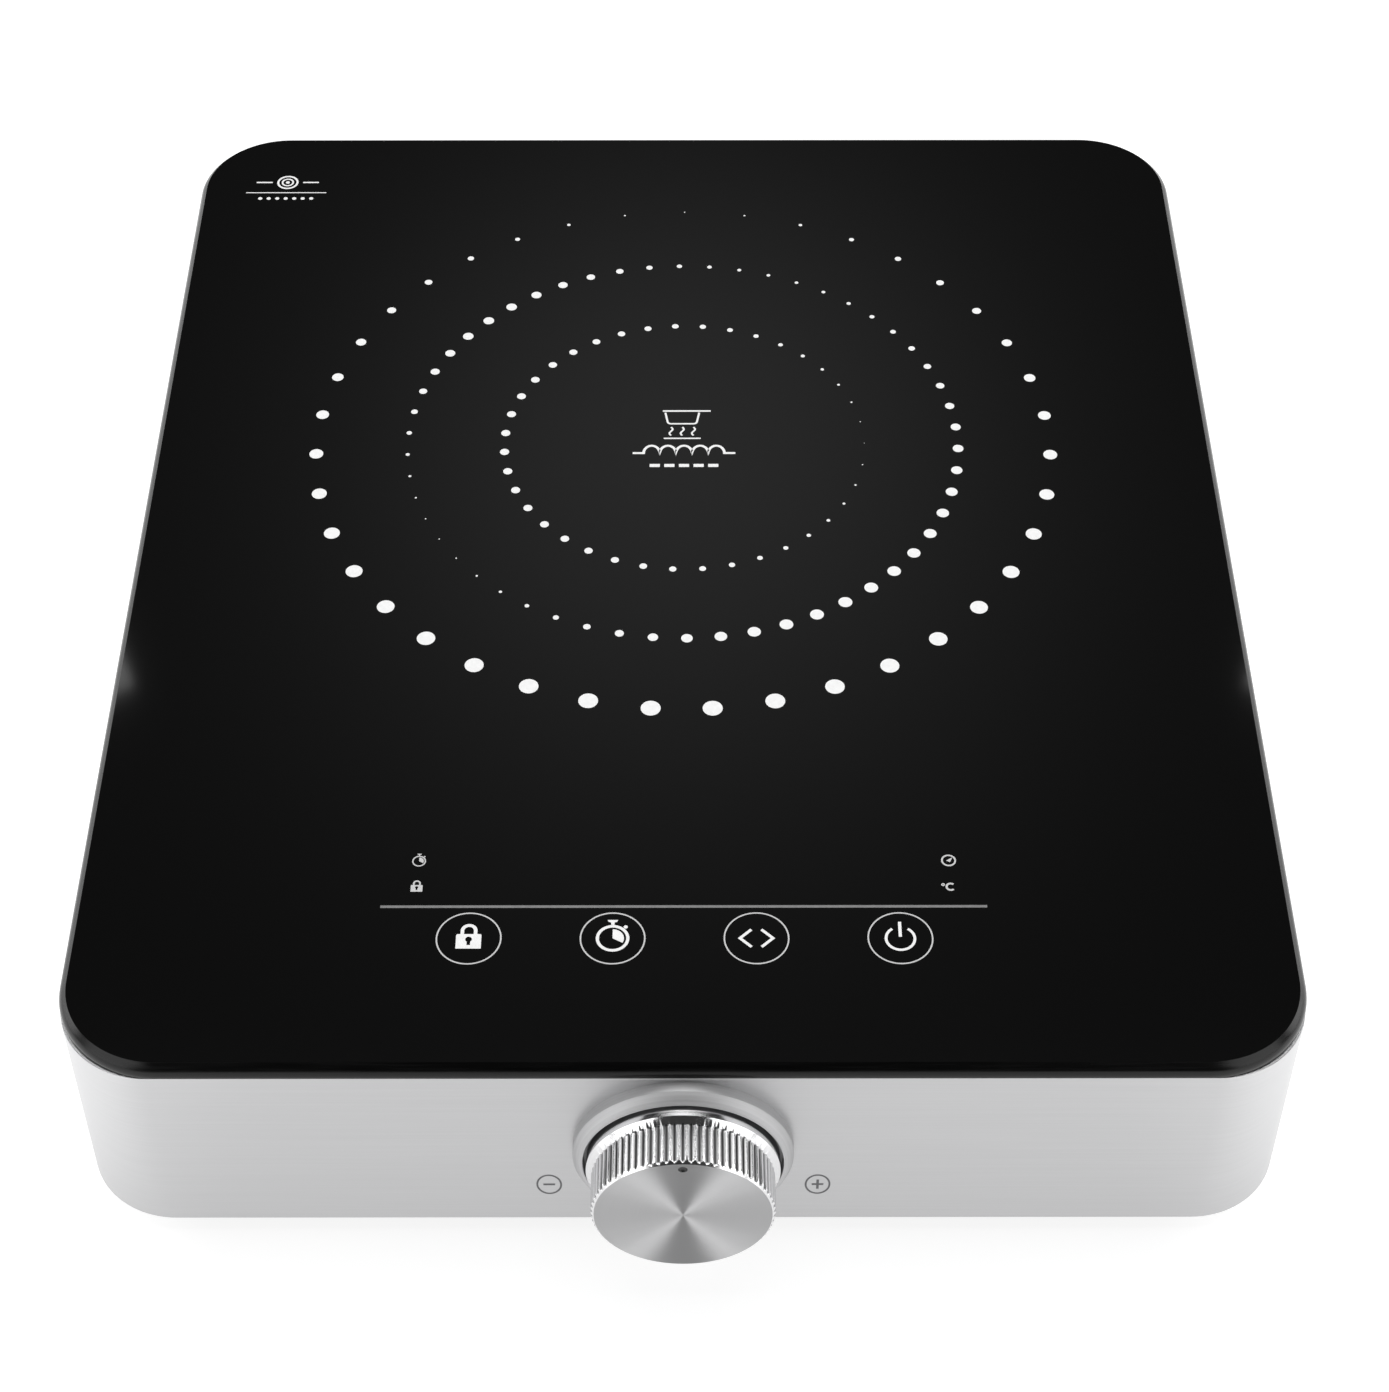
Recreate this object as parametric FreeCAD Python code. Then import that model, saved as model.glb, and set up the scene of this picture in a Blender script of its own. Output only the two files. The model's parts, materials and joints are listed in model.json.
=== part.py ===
"""Portable induction hob: a glass plate on a brushed metal hoop, with a turning knob at the front.

Millimetres, +Z up, +Y to the back, origin under the middle of the whole hob on the surface that it
stands on. The cooking zone is behind the middle of the plate and the touch keys are in front of it.
Inside are the coil on its former, the power board with its heatsink, the fan, the control board
under the glass, and the rotary encoder that carries the knob.
"""

import FreeCAD, Part
import math
import os

from FreeCAD import Vector

# ---- driving dimensions -------------------------------------------------------------------------
plate_w = 291.0         # glass plate, side to side
plate_d = 350.0         # glass plate, front to back
plate_t = 4.0           # glass thickness
corner_r = 25.0         # plan radius of the glass and of everything that follows it
band_corner_r = 22.5    # plan radius of the hoop, a little tighter than the glass
total_h = 67.0          # from the table to the top of the glass
foot_h = 6.5            # from the table to the tray
band_lift = 5.2         # from the table to the lower edge of the hoop
band_t = 1.2            # sheet thickness of the hoop
shadow_gap = 0.3        # open joint between glass and hoop
knob_reach = 19.0       # the knob's face stands this far out of the hoop
inlet_proud = 2.0       # the rear bush stands this far out of the hoop
knob_drop = 31.5        # knob axis below the top of the glass
zone_back = 37.4        # centre of the cooking zone behind the middle of the plate
key_forward = 138.2     # centres of the touch keys in front of the middle of the plate
key_pitch = 34.15       # from one touch key to the next

# ---- places that follow from them ---------------------------------------------------------------
plate_y = (knob_reach - inlet_proud) / 2
front_y = plate_y - plate_d / 2
back_y = plate_y + plate_d / 2
glass_z = total_h - plate_t
band_top = glass_z - shadow_gap
knob_z = total_h - knob_drop
zone_y = plate_y + zone_back
key_y = plate_y - key_forward
key_xs = [(i - 1.5) * key_pitch for i in range(4)]

# casing
glass_bevel, glass_arris = 0.8, 0.3
tray_gap = 0.3
tray_inset = band_t + tray_gap
tray_floor_t = 2.5
tray_wall_t = 2.0
tray_wall_top = 46.0
floor_z = foot_h + tray_floor_t
seal_t, seal_w, seal_inset = 0.7, 5.0, 0.5
frame_top = glass_z - seal_t
frame_t = 2.5
frame_width = 9.0
frame_skirt_z = 51.0
screw_xs = (-130.0, 130.0)
screw_ys = tuple(plate_y + dy for dy in (-112.0, 8.0, 128.0))
boss_r = 5.5
boss_top = 20.0
boss_bore_r, boss_sink_r = 1.7, 3.4
fan_post_r, board_post_r = 4.0, 3.5
post_r = 4.0
screw_r = 1.5
screw_seat = 16.0
foot_r = 10.0
foot_xs = (-112.0, 112.0)
foot_ys = (plate_y - 142.0, plate_y + 142.0)
foot_stem_r = 3.0
foot_recess = 0.8
foot_bevel = 1.0
plug_r, plug_tip_r, plug_h = 4.4, 2.4, 3.0
slot_row = (plate_y + 20.0, plate_y + 70.0)
slot_xs = tuple(-100.0 + 9 * i for i in range(9))
intake_rings = ((9.0, 13.0), (17.0, 21.0), (25.0, 29.0), (33.0, 37.0))
spoke_w = 5.0
head_r, head_t = 2.9, 2.2

# knob and encoder, measured outwards from the hoop along -Y
bezel_r = 26.0
bezel_bore_r = 23.6
bezel_reach = 5.0
bezel_floor_t = 1.5
skirt_r = 22.8
skirt_start, skirt_end = 3.5, 8.6
skirt_bevel = 1.4
knurl_r = 21.4
knurl_root_r = 20.9
knurl_teeth = 70
knob_wall = 1.5
knob_edge = 0.6
dimple_r = 1.1
dimple_out = 18.6
shaft_r = 3.0
shaft_play = 0.05
bush_r = 4.5
bush_reach = 7.0
washer_t = 0.5
nut_t = 2.2
nut_across_flats = 12.0
encoder_size = 14.0
encoder_t = 7.0
shaft_start = -(band_t + encoder_t - 2.0)   # the shaft ends inside the encoder's case
rib_start = 11.0

# rear of the hoop
grille_w, grille_h, grille_z = 156.0, 26.0, 34.0
grille_slots = 19
grille_slot_w = 4.4
inlet_x, inlet_z = 108.0, 30.0
inlet_bore_r = 4.0
inlet_neck_r = 7.0
inlet_flange_r = 10.5
inlet_inside = 8.0

# fan
fan_x, fan_y = 66.0, plate_y - 52.0
fan_size = 80.0
fan_h = 25.0
fan_z = floor_z + 2.0
fan_tip_r = 36.5
fan_duct_r = 38.0
fan_hub_r = 16.0
fan_blades = 9
fan_shaft_r = 1.5
fan_play = 0.04

# power board and coil
board_x0, board_x1 = -120.0, -12.0
board_y0, board_y1 = plate_y - 62.0, plate_y + 134.0
board_z = 14.0
board_t = 1.6
coil_in_r, coil_out_r = 26.0, 88.0
coil_turns_in, coil_turns_out = 7, 9
coil_pitch = 3.5
coil_wire_r = 1.6
former_z = 56.6
former_t = 1.8
former_r = 92.0
sheet_t = 1.0
ferrite_t = 5.0
ferrite_count = 8
shield_t = 1.2
shield_r = 90.0
sensor_cap_r = 9.0
sensor_cap_top = 5.0
sensor_t = 2.0
coil_post_r = 4.0
coil_post_ring = 52.7     # the screws stand between the two windings


def at(x, y, z):
    return Vector(x, y, z)


def box(x0, x1, y0, y1, z0, z1):
    return Part.makeBox(x1 - x0, y1 - y0, z1 - z0, at(x0, y0, z0))


def rod(x, y, z0, z1, r):
    """Upright cylinder."""
    return Part.makeCylinder(r, z1 - z0, at(x, y, z0))


def tube(x, y, z0, z1, outer, inner):
    return rod(x, y, z0, z1, outer).cut(rod(x, y, z0, z1, inner))


def rod_y(x, z, y0, y1, r):
    """Cylinder along Y from the lower y0 to the higher y1."""
    return Part.makeCylinder(r, y1 - y0, at(x, y0, z), at(0, 1, 0))


def knob_rod(out0, out1, r):
    """Cylinder on the knob's axis, between two distances out of the hoop."""
    return rod_y(0, knob_z, front_y - out1, front_y - out0, r)


def plan(inset, z, radius=corner_r):
    """Face of the hob's rounded rectangle, inset from the glass, at height z."""
    x, y, r = plate_w / 2 - inset, plate_d / 2 - inset, radius - inset
    k = r * (1 - math.sqrt(0.5))
    edges = []
    corners = ((x, y), (-x, y), (-x, -y), (x, -y))
    for i, (cx, cy) in enumerate(corners):
        sx, sy = math.copysign(1, cx), math.copysign(1, cy)
        side = at(cx, cy - sy * r + plate_y, z)
        end = at(cx - sx * r, cy + plate_y, z)
        middle = at(cx - sx * k, cy - sy * k + plate_y, z)
        start, stop = (side, end) if i % 2 == 0 else (end, side)
        edges.append(Part.Arc(start, middle, stop).toShape())
    chain = []
    for i, arc in enumerate(edges):
        following = edges[(i + 1) % 4]
        chain.append(arc)
        chain.append(Part.makeLine(arc.lastVertex(True).Point, following.firstVertex(True).Point))
    return Part.Face(Part.Wire(chain))


def slab(inset, z0, z1, radius=corner_r):
    return plan(inset, z0, radius).extrude(at(0, 0, z1 - z0))


def hoop(inset, width, z0, z1, radius=corner_r):
    return slab(inset, z0, z1, radius).cut(slab(inset + width, z0, z1, radius))


def joined(first, *rest):
    return first.fuse(list(rest)).removeSplitter() if rest else first


def group(shapes):
    """Several separate solids that share one node."""
    return Part.makeCompound([s for shape in shapes for s in shape.Solids])


def turned(x, y, angle, shape):
    """shape, made about the origin, turned by angle degrees about Z and moved to x, y."""
    moved = shape.copy()
    moved.rotate(at(0, 0, 0), at(0, 0, 1), angle)
    moved.translate(at(x, y, 0))
    return moved


def wire_tube(points, r):
    """Round wire along straight runs that large tangent arcs join."""
    points = [at(*p) for p in points]
    edges, start = [], points[0]
    for before, corner, after in zip(points, points[1:], points[2:]):
        d0, d1 = (before - corner), (after - corner)
        run = min(d0.Length, d1.Length)
        half_turn = (math.pi - d0.getAngle(d1)) / 2
        cut = 0.45 * run
        radius = cut / math.tan(half_turn)
        d0.normalize()
        d1.normalize()
        inward = (d0 + d1).normalize()
        centre = corner + inward * (radius / math.cos(half_turn))
        a, b = corner + d0 * cut, corner + d1 * cut
        edges.append(Part.LineSegment(start, a).toShape())
        edges.append(Part.Arc(a, centre - inward * radius, b).toShape())
        start = b
    edges.append(Part.LineSegment(start, points[-1]).toShape())
    path = Part.Wire(edges)
    circle = Part.makeCircle(r, points[0], points[1] - points[0])
    return path.makePipeShell([Part.Wire(circle)], True, False)


# ---- casing -------------------------------------------------------------------------------------
def glass_plate():
    """Ground all round: a wide polished bevel above, a small one below."""
    plate = slab(0, glass_z, total_h)
    top = [e for e in plate.Edges if e.BoundBox.ZMin > total_h - 0.01]
    plate = plate.makeChamfer(glass_bevel, top)
    low = [e for e in plate.Edges if e.BoundBox.ZMax < glass_z + 0.01]
    return plate.makeChamfer(glass_arris, low)


def glass_seal():
    """Flat silicone bead between the glass and its frame."""
    return hoop(tray_inset + seal_inset, seal_w, frame_top, glass_z)


def top_frame():
    """Flange that carries the glass, a skirt inside the hoop, and posts that take the screws."""
    flange = hoop(tray_inset, frame_width, frame_top - frame_t, frame_top)
    skirt = hoop(tray_inset, tray_wall_t, frame_skirt_z, frame_top - frame_t)
    posts = [rod(x, y, boss_top, frame_top - frame_t, post_r) for x in screw_xs for y in screw_ys]
    ears = [box(min(x, sx), max(x, sx), y - 3, y + 3, frame_skirt_z, frame_top - frame_t)
            for x in screw_xs for y in screw_ys
            for sx in (math.copysign(plate_w / 2 - tray_inset - 1, x),)]
    frame = joined(flange, skirt, *posts, *ears)
    for x in screw_xs:
        for y in screw_ys:
            frame = frame.cut(rod(x, y, boss_top, boss_top + 14, screw_r))
    return frame


def shell_band():
    """Hoop of brushed sheet with the knob hole in front, the outlet window and cord hole behind."""
    band = hoop(0, band_t, band_lift, band_top, band_corner_r)
    band = band.cut(rod_y(0, knob_z, front_y - 1, front_y + band_t + 1, bush_r + 0.3))
    window = box(-grille_w / 2, grille_w / 2, back_y - band_t - 1, back_y + 1,
                 grille_z - grille_h / 2, grille_z + grille_h / 2)
    band = band.cut(window)
    return band.cut(rod_y(inlet_x, inlet_z, back_y - band_t - 1, back_y + 1, inlet_neck_r))


def exhaust_grille():
    """Moulded outlet: a flush face in the hoop's window and a flange behind the sheet."""
    z0, z1 = grille_z - grille_h / 2, grille_z + grille_h / 2
    inside = back_y - band_t
    face = box(-grille_w / 2, grille_w / 2, inside, back_y, z0, z1)
    flange = box(-grille_w / 2 - 4, grille_w / 2 + 4, inside - 2.0, inside, z0 - 3, z1 + 3)
    grille = joined(face, flange)
    pitch = (grille_w - 8) / grille_slots
    slots = [box(x - grille_slot_w / 2, x + grille_slot_w / 2, inside - 3, back_y + 1, z0 + 3, z1 - 3)
             for x in ((i - (grille_slots - 1) / 2) * pitch for i in range(grille_slots))]
    return grille.cut(Part.makeCompound(slots))


def intake_slots():
    """Four rings of arc slots, crossed by four spokes, under the fan."""
    spokes = [turned(fan_x, fan_y, a, box(-spoke_w / 2, spoke_w / 2, -45, 45, foot_h - 1, floor_z + 1))
              for a in (45, 135)]
    cuts = []
    for inner, outer in intake_rings:
        ring = tube(fan_x, fan_y, foot_h - 1, floor_z + 1, outer, inner)
        cuts.append(ring.cut(Part.makeCompound(spokes)))
    return Part.makeCompound([s for c in cuts for s in c.Solids])


def base_tray():
    """Black moulded tray inside the hoop, with the air intake, bosses, posts and wall cut-outs."""
    floor = slab(tray_inset, foot_h, floor_z)
    wall = hoop(tray_inset, tray_wall_t, floor_z, tray_wall_top)
    bosses = [rod(x, y, foot_h, boss_top, boss_r) for x in screw_xs for y in screw_ys]
    fan_posts = [rod(x, y, floor_z, fan_z, fan_post_r) for x, y in fan_corners()]
    board_posts = [rod(x, y, floor_z, board_z, board_post_r) for x, y in board_corners()]
    coil_posts = [rod(x, y, floor_z, shield_bottom(), coil_post_r) for x, y in coil_corners()]
    tray = joined(floor, wall, *bosses, *fan_posts, *board_posts, *coil_posts)
    cuts = []
    for x in screw_xs:
        for y in screw_ys:
            cuts += [rod(x, y, foot_h - 1, screw_seat, boss_sink_r), rod(x, y, screw_seat - 1, boss_top + 1, boss_bore_r)]
    cuts += [rod(x, y, foot_h - 1, floor_z + 1, foot_stem_r) for x in foot_xs for y in foot_ys]
    cuts += [rod(x, y, foot_h - 1, foot_h + foot_recess, foot_r + 0.4) for x in foot_xs for y in foot_ys]
    cuts += [box(x - 2, x + 2, *slot_row, foot_h - 1, floor_z + 1) for x in slot_xs]
    front, back = front_y + tray_inset, back_y - tray_inset
    z_top = tray_wall_top + 1
    cuts.append(box(-24, 24, front - 1, front + tray_wall_t + 1, 20, z_top))
    cuts.append(box(-grille_w / 2 - 5, grille_w / 2 + 5, back - tray_wall_t - 1, back + 1, 16, z_top))
    cuts.append(box(inlet_x - 14, inlet_x + 14, back - tray_wall_t - 1, back + 1, 16, z_top))
    tray = tray.cut(Part.makeCompound(cuts)).cut(intake_slots())
    holes = [rod(x, y, floor_z, fan_z + 1, screw_r) for x, y in fan_corners()]
    holes += [rod(x, y, floor_z, board_z + 1, screw_r) for x, y in board_corners()]
    holes += [rod(x, y, shield_bottom() - 10, shield_bottom() + 1, screw_r) for x, y in coil_corners()]
    return tray.cut(Part.makeCompound(holes))


def rubber_foot(x, y):
    """Foot with a plug that snaps through the tray."""
    pad = rod(x, y, 0, foot_h + foot_recess, foot_r)
    low = [e for e in pad.Edges if e.BoundBox.ZMax < 0.01]
    pad = pad.makeChamfer(foot_bevel, low)
    stem = rod(x, y, foot_h, floor_z, foot_stem_r)
    head = Part.makeCone(plug_r, plug_tip_r, plug_h, at(x, y, floor_z))
    return joined(pad, stem, head)


def pan_screw(x, y, seat, length, head_r=head_r, head_t=head_t, down=False):
    """Cross-head screw: the head below its seat, or above it if down is true."""
    sign = -1 if down else 1
    low, high = sorted((seat, seat - sign * head_t))
    head = rod(x, y, low, high, head_r)
    a, b = sorted((seat, seat + sign * length))
    shank = rod(x, y, a, b, screw_r)
    face = seat - sign * head_t
    c0, c1 = sorted((face, face + sign * 1.1))
    cross = joined(box(x - 1.7, x + 1.7, y - 0.4, y + 0.4, c0, c1), box(x - 0.4, x + 0.4, y - 1.7, y + 1.7, c0, c1))
    return joined(head, shank).cut(cross)


def base_screws():
    return group([pan_screw(x, y, screw_seat, 17.0) for x in screw_xs for y in screw_ys])


def cord_inlet_bush():
    """Flanged rubber bush in the rear hole, open for a mains lead."""
    neck_in = back_y - band_t
    flange = rod_y(inlet_x, inlet_z, back_y, back_y + inlet_proud, inlet_flange_r)
    edge = [e for e in flange.Edges if e.BoundBox.YMin > back_y + inlet_proud - 0.01]
    flange = flange.makeFillet(1.2, edge)
    neck = rod_y(inlet_x, inlet_z, neck_in, back_y, inlet_neck_r)
    collar = rod_y(inlet_x, inlet_z, neck_in - inlet_inside, neck_in, inlet_neck_r + 1.5)
    bush = joined(flange, neck, collar)
    return bush.cut(rod_y(inlet_x, inlet_z, neck_in - inlet_inside - 1, back_y + inlet_proud + 1, inlet_bore_r))


# ---- knob and encoder ---------------------------------------------------------------------------
def knurled_disc(out0, out1, tip, root):
    """Prism with straight knurl teeth, on the knob's axis."""
    step = 2 * math.pi / knurl_teeth
    ring = []
    for i in range(knurl_teeth):
        for share, r in ((0.0, root), (0.25, root), (0.4, tip), (0.85, tip)):
            a = (i + share) * step
            ring.append(at(r * math.sin(a), front_y - out0, knob_z + r * math.cos(a)))
    face = Part.Face(Part.makePolygon(ring + ring[:1]))
    return face.extrude(at(0, out0 - out1, 0))


def knob_cap():
    """Turned aluminium cap: bevelled skirt, knurled grip, flat face with a sunk pointer dot."""
    skirt = knob_rod(skirt_start, skirt_end, skirt_r)
    edge = [e for e in skirt.Edges if e.BoundBox.YMax < front_y - skirt_end + 0.01]
    skirt = skirt.makeChamfer(skirt_bevel, edge)
    grip = knurled_disc(skirt_end - 0.5, knob_reach - knob_edge, knurl_r, knurl_root_r)
    face = knob_rod(knob_reach - knob_edge, knob_reach, knurl_root_r)
    face = face.makeChamfer(0.4, [e for e in face.Edges if e.BoundBox.YMax < front_y - knob_reach + 0.01])
    cap = joined(skirt, grip, face)
    hollow = knob_rod(skirt_start - 1, knob_reach - knob_wall, knurl_root_r - knob_wall)
    dot = rod_y(0, knob_z + dimple_out, front_y - knob_reach - 1, front_y - knob_reach + 0.7, dimple_r)
    return cap.cut(hollow).cut(dot)


def knob_core():
    """Moulded core inside the cap: rim, web, ribs and a hub with a flatted bore."""
    rim = knob_rod(skirt_start + 0.5, knob_reach - knob_wall, knurl_root_r - knob_wall)
    rim = rim.cut(knob_rod(skirt_start, knob_reach - knob_wall - 1.6, knurl_root_r - knob_wall - 1.6))
    hub = knob_rod(bush_reach + 0.8, knob_reach - knob_wall, 6.0)
    rib_box = box(-18.0, 18.0, front_y - knob_reach + knob_wall, front_y - rib_start, knob_z - 0.8, knob_z + 0.8)
    ribs = []
    for angle in (0, 60, 120):
        rib = rib_box.copy()
        rib.rotate(at(0, 0, knob_z), at(0, 1, 0), angle)
        ribs.append(rib)
    return joined(rim, hub, *ribs).cut(encoder_shaft())


def encoder_shaft():
    """Steel shaft with a flat for the knob, turning in the encoder's bush."""
    shaft = knob_rod(shaft_start, knob_reach - knob_wall - 2.0, shaft_r)
    flat_y0 = front_y - knob_reach
    flat = box(-shaft_r, shaft_r, flat_y0, front_y - bush_reach - 1.5, knob_z + 1.5, knob_z + shaft_r + 1)
    return shaft.cut(flat)


def knob_bezel():
    """Turned trim ring round the knob, with a rounded shoulder, clamped by the encoder's nut."""
    ring = knob_rod(0, bezel_reach, bezel_r)
    ring = ring.makeFillet(2.2, [e for e in ring.Edges if e.BoundBox.YMax < front_y - bezel_reach + 0.01])
    ring = ring.cut(knob_rod(bezel_floor_t, bezel_reach + 1, bezel_bore_r))
    return ring.cut(knob_rod(-1, bezel_floor_t + 1, bush_r + 0.2))


def encoder_body():
    """Encoder case behind the hoop, with its threaded bush through the hoop and the trim ring."""
    inner = front_y + band_t
    s = encoder_size / 2
    case = box(-s, s, inner, inner + encoder_t, knob_z - s, knob_z + s)
    bush = knob_rod(-band_t, bush_reach, bush_r)
    pins = [box(x - 0.5, x + 0.5, inner + encoder_t, inner + encoder_t + 3, knob_z - s + 1, knob_z - s + 2)
            for x in (-5, 0, 5)]
    bore = knob_rod(shaft_start - 0.3, bush_reach + 1, shaft_r + shaft_play)
    return joined(case, bush, *pins).cut(bore)


def encoder_washer():
    ring = knob_rod(bezel_floor_t, bezel_floor_t + washer_t, 7.5)
    return ring.cut(knob_rod(bezel_floor_t - 1, bezel_floor_t + washer_t + 1, bush_r))


def encoder_nut():
    out0 = bezel_floor_t + washer_t
    r = nut_across_flats / 2 / math.cos(math.pi / 6)
    ring = [at(r * math.sin(math.pi / 3 * i), front_y - out0, knob_z + r * math.cos(math.pi / 3 * i))
            for i in range(7)]
    nut = Part.Face(Part.makePolygon(ring)).extrude(at(0, -nut_t, 0))
    return nut.cut(knob_rod(out0 - 1, out0 + nut_t + 1, bush_r))


def encoder_board():
    """Small circuit board on the encoder's pins, with its socket."""
    y0 = front_y + band_t + encoder_t
    s = encoder_size / 2
    board = box(-18, 18, y0, y0 + board_t, knob_z - 15, knob_z + 11)
    pins = [box(x - 0.5, x + 0.5, y0 - 1, y0 + 3, knob_z - s + 1, knob_z - s + 2) for x in (-5, 0, 5)]
    board = board.cut(Part.makeCompound(pins))
    socket = box(-8, 8, y0 + board_t, y0 + board_t + 6, knob_z - 13, knob_z - 8.5)
    return joined(board, socket)


# ---- control board under the front of the glass -------------------------------------------------
control_z = 53.5
control_x = 112.0
control_y0, control_y1 = front_y + 14.0, front_y + 72.0
display_half, display_y = 31.7, plate_y - 118.5
carrier_drop = 3.5
icon_x = 63.9
spring_r = 6.0
spring_wire = 0.9
icon_ys = (plate_y - 114.0, plate_y - 122.2)


def control_board():
    return box(-control_x, control_x, control_y0, control_y1, control_z, control_z + board_t)


def control_carrier():
    """Moulded tray that hangs the control board from the frame's flange."""
    x, y0, y1 = control_x + 1.5, control_y0 - 1.5, control_y1 + 1.5
    outer = box(-x, x, y0, y1, control_z - carrier_drop, control_z + board_t)
    inner = box(-control_x - 0.2, control_x + 0.2, control_y0 - 0.2, control_y1 + 0.2, control_z, control_z + 9)
    window = box(-control_x + 8, control_x - 8, control_y0 + 8, control_y1 - 8, control_z - 9, control_z + 9)
    tabs = [box(x0, x0 + 14, front_y + 7.0, y0 + 0.5, control_z - carrier_drop, frame_top - frame_t)
            for x0 in (-95.0, 81.0)]
    return joined(outer.cut(inner).cut(window), *tabs)


def display_module():
    """Four-digit display standing on the control board, its face just under the glass."""
    z0 = control_z + board_t
    case = box(-display_half, display_half, display_y - 7, display_y + 7, z0, glass_z - 0.4)
    x = display_half - 1.5
    recess = box(-x, x, display_y - 5.5, display_y + 5.5, glass_z - 0.9, glass_z)
    return case.cut(recess)


def indicator_lights():
    """Four light guides under the small signs at the ends of the display."""
    z0 = control_z + board_t
    return group([rod(x, y, z0, glass_z - 0.4, 2.2) for x in (-icon_x, icon_x) for y in icon_ys])


def touch_springs():
    """Contact springs between the control board and the glass, one under each key, as thin sleeves."""
    z0 = control_z + board_t
    return group([tube(x, key_y, z0, glass_z, spring_r, spring_r - spring_wire) for x in key_xs])


def control_chips():
    """Controller and two driver chips under the control board."""
    z1 = control_z
    sizes = ((0, 14, 10), (-45, 10, 7), (48, 10, 7))
    return group([box(x - w / 2, x + w / 2, control_y1 - 24 - d / 2, control_y1 - 24 + d / 2, z1 - 2, z1)
                  for x, w, d in sizes])


# ---- coil ---------------------------------------------------------------------------------------
def shield_bottom():
    return former_z - ferrite_t - shield_t


def coil_corners():
    return [(sx * coil_post_ring, zone_y + sy * coil_post_ring) for sx, sy in ((1, 0), (0, 1), (-1, 0), (0, -1))]


def coil_winding():
    """Two windings of litz wire, drawn as closed turns."""
    z = former_z + former_t + coil_wire_r
    radii = [coil_in_r + coil_pitch * i for i in range(coil_turns_in)]
    radii += [coil_out_r - coil_wire_r - coil_pitch * i for i in range(coil_turns_out)]
    return group([Part.makeTorus(r, coil_wire_r, at(0, zone_y, z)) for r in radii])


def coil_former():
    """Moulded wheel that carries the windings, with a hub for the sensor."""
    z0, z1 = former_z, former_z + former_t
    disc = rod(0, zone_y, z0, z1, former_r)
    windows = [turned(0, zone_y, a, box(34, 80, -7, 7, z0 - 1, z1 + 1)) for a in (45, 135, 225, 315)]
    rim = tube(0, zone_y, z0, z1 + 3.0, former_r, former_r - 1.6)
    hub = tube(0, zone_y, z0, z1 + 3.0, 14.0, 12.0)
    former = joined(disc.cut(Part.makeCompound(windows)), rim, hub)
    former = former.cut(rod(0, zone_y, z0 - 1, z1 + 9, sensor_cap_r))
    screws = [rod(x, y, z0 - 1, z1 + 1, screw_r) for x, y in coil_corners()]
    return former.cut(Part.makeCompound(screws))


def ferrite_bars():
    """Eight ferrite bars, laid like spokes between the former and the shield."""
    z0 = former_z - ferrite_t
    bar = box(30, 84, -6, 6, z0, former_z)
    return group([turned(0, zone_y, 360.0 / ferrite_count * (i + 0.5), bar) for i in range(ferrite_count)])


def coil_shield():
    """Aluminium plate under the ferrites."""
    z0 = shield_bottom()
    plate = rod(0, zone_y, z0, z0 + shield_t, shield_r).cut(rod(0, zone_y, z0 - 1, z0 + 9, 16.0))
    screws = [rod(x, y, z0 - 1, z0 + 9, screw_r) for x, y in coil_corners()]
    return plate.cut(Part.makeCompound(screws))


def coil_spacers():
    """Bushes that hold the former off the shield at the screws."""
    z0, z1 = shield_bottom() + shield_t, former_z
    return group([tube(x, y, z0, z1, 3.2, screw_r) for x, y in coil_corners()])


def coil_screws():
    seat = former_z + former_t
    return group([pan_screw(x, y, seat, 14.0, head_r=2.6, head_t=1.2, down=True).cut(
        rod(x, y, seat - 99, seat - 14, 9)) for x, y in coil_corners()])


def coil_insulation():
    """Mica sheet between the windings and the glass."""
    z0 = glass_z - sheet_t
    return tube(0, zone_y, z0, glass_z, former_r, 10.0)


def sensor_cap():
    """Silicone cup that presses the temperature sensor to the glass."""
    cup = rod(0, zone_y, former_z - 3, glass_z, sensor_cap_r)
    cup = cup.cut(rod(0, zone_y, former_z - 3, glass_z - sensor_cap_top, sensor_cap_r - 2.5))
    return cup.cut(rod(0, zone_y, glass_z - sensor_t, glass_z, 2.0))


def heat_sensor():
    """Flat-ended thermistor in the cup's pocket, against the glass."""
    return rod(0, zone_y, glass_z - sensor_t, glass_z, 1.6)


# ---- power board --------------------------------------------------------------------------------
board_top = board_z + board_t
sink_x0, sink_x1 = board_x0 + 46.0, board_x1 - 6.0
sink_y0, sink_y1 = board_y0 + 8.0, board_y0 + 92.0
sink_top = 43.0
sink_gap, sink_base_t = 6.0, 4.0     # the packages stand under the base
fin_t, fin_count = 1.6, 10


def board_corners():
    return [(x, y) for x in (board_x0 + 5, board_x1 - 5) for y in (board_y0 + 5, board_y1 - 5)
            if not (x > board_x0 + 9 and y < board_y0 + 9)] + [(board_x1 - 5, board_y0 + 110)]


def power_board():
    """Circuit board with its screw holes and a clear hole for the coil post that passes through it."""
    board = box(board_x0, board_x1, board_y0, board_y1, board_z, board_top)
    board = board.cut(rod(-coil_post_ring, zone_y, board_z - 1, board_top + 1, coil_post_r + 1))
    return board.cut(Part.makeCompound([rod(x, y, board_z - 1, board_top + 1, screw_r) for x, y in board_corners()]))


def board_screws():
    return group([pan_screw(x, y, board_top, 5.5, down=True) for x, y in board_corners()])


def heatsink():
    """Aluminium extrusion with upright fins along Y."""
    base_z = board_top + sink_gap
    base = box(sink_x0, sink_x1, sink_y0, sink_y1, base_z, base_z + sink_base_t)
    pitch = (sink_x1 - sink_x0 - fin_t) / (fin_count - 1)
    fins = [box(x, x + fin_t, sink_y0, sink_y1, base_z + sink_base_t, sink_top)
            for x in (sink_x0 + i * pitch for i in range(fin_count))]
    legs = [box(x, x + 3, sink_y0, sink_y1, board_top, base_z) for x in (sink_x0, sink_x1 - 3)]
    return joined(base, *fins, *legs)


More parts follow.
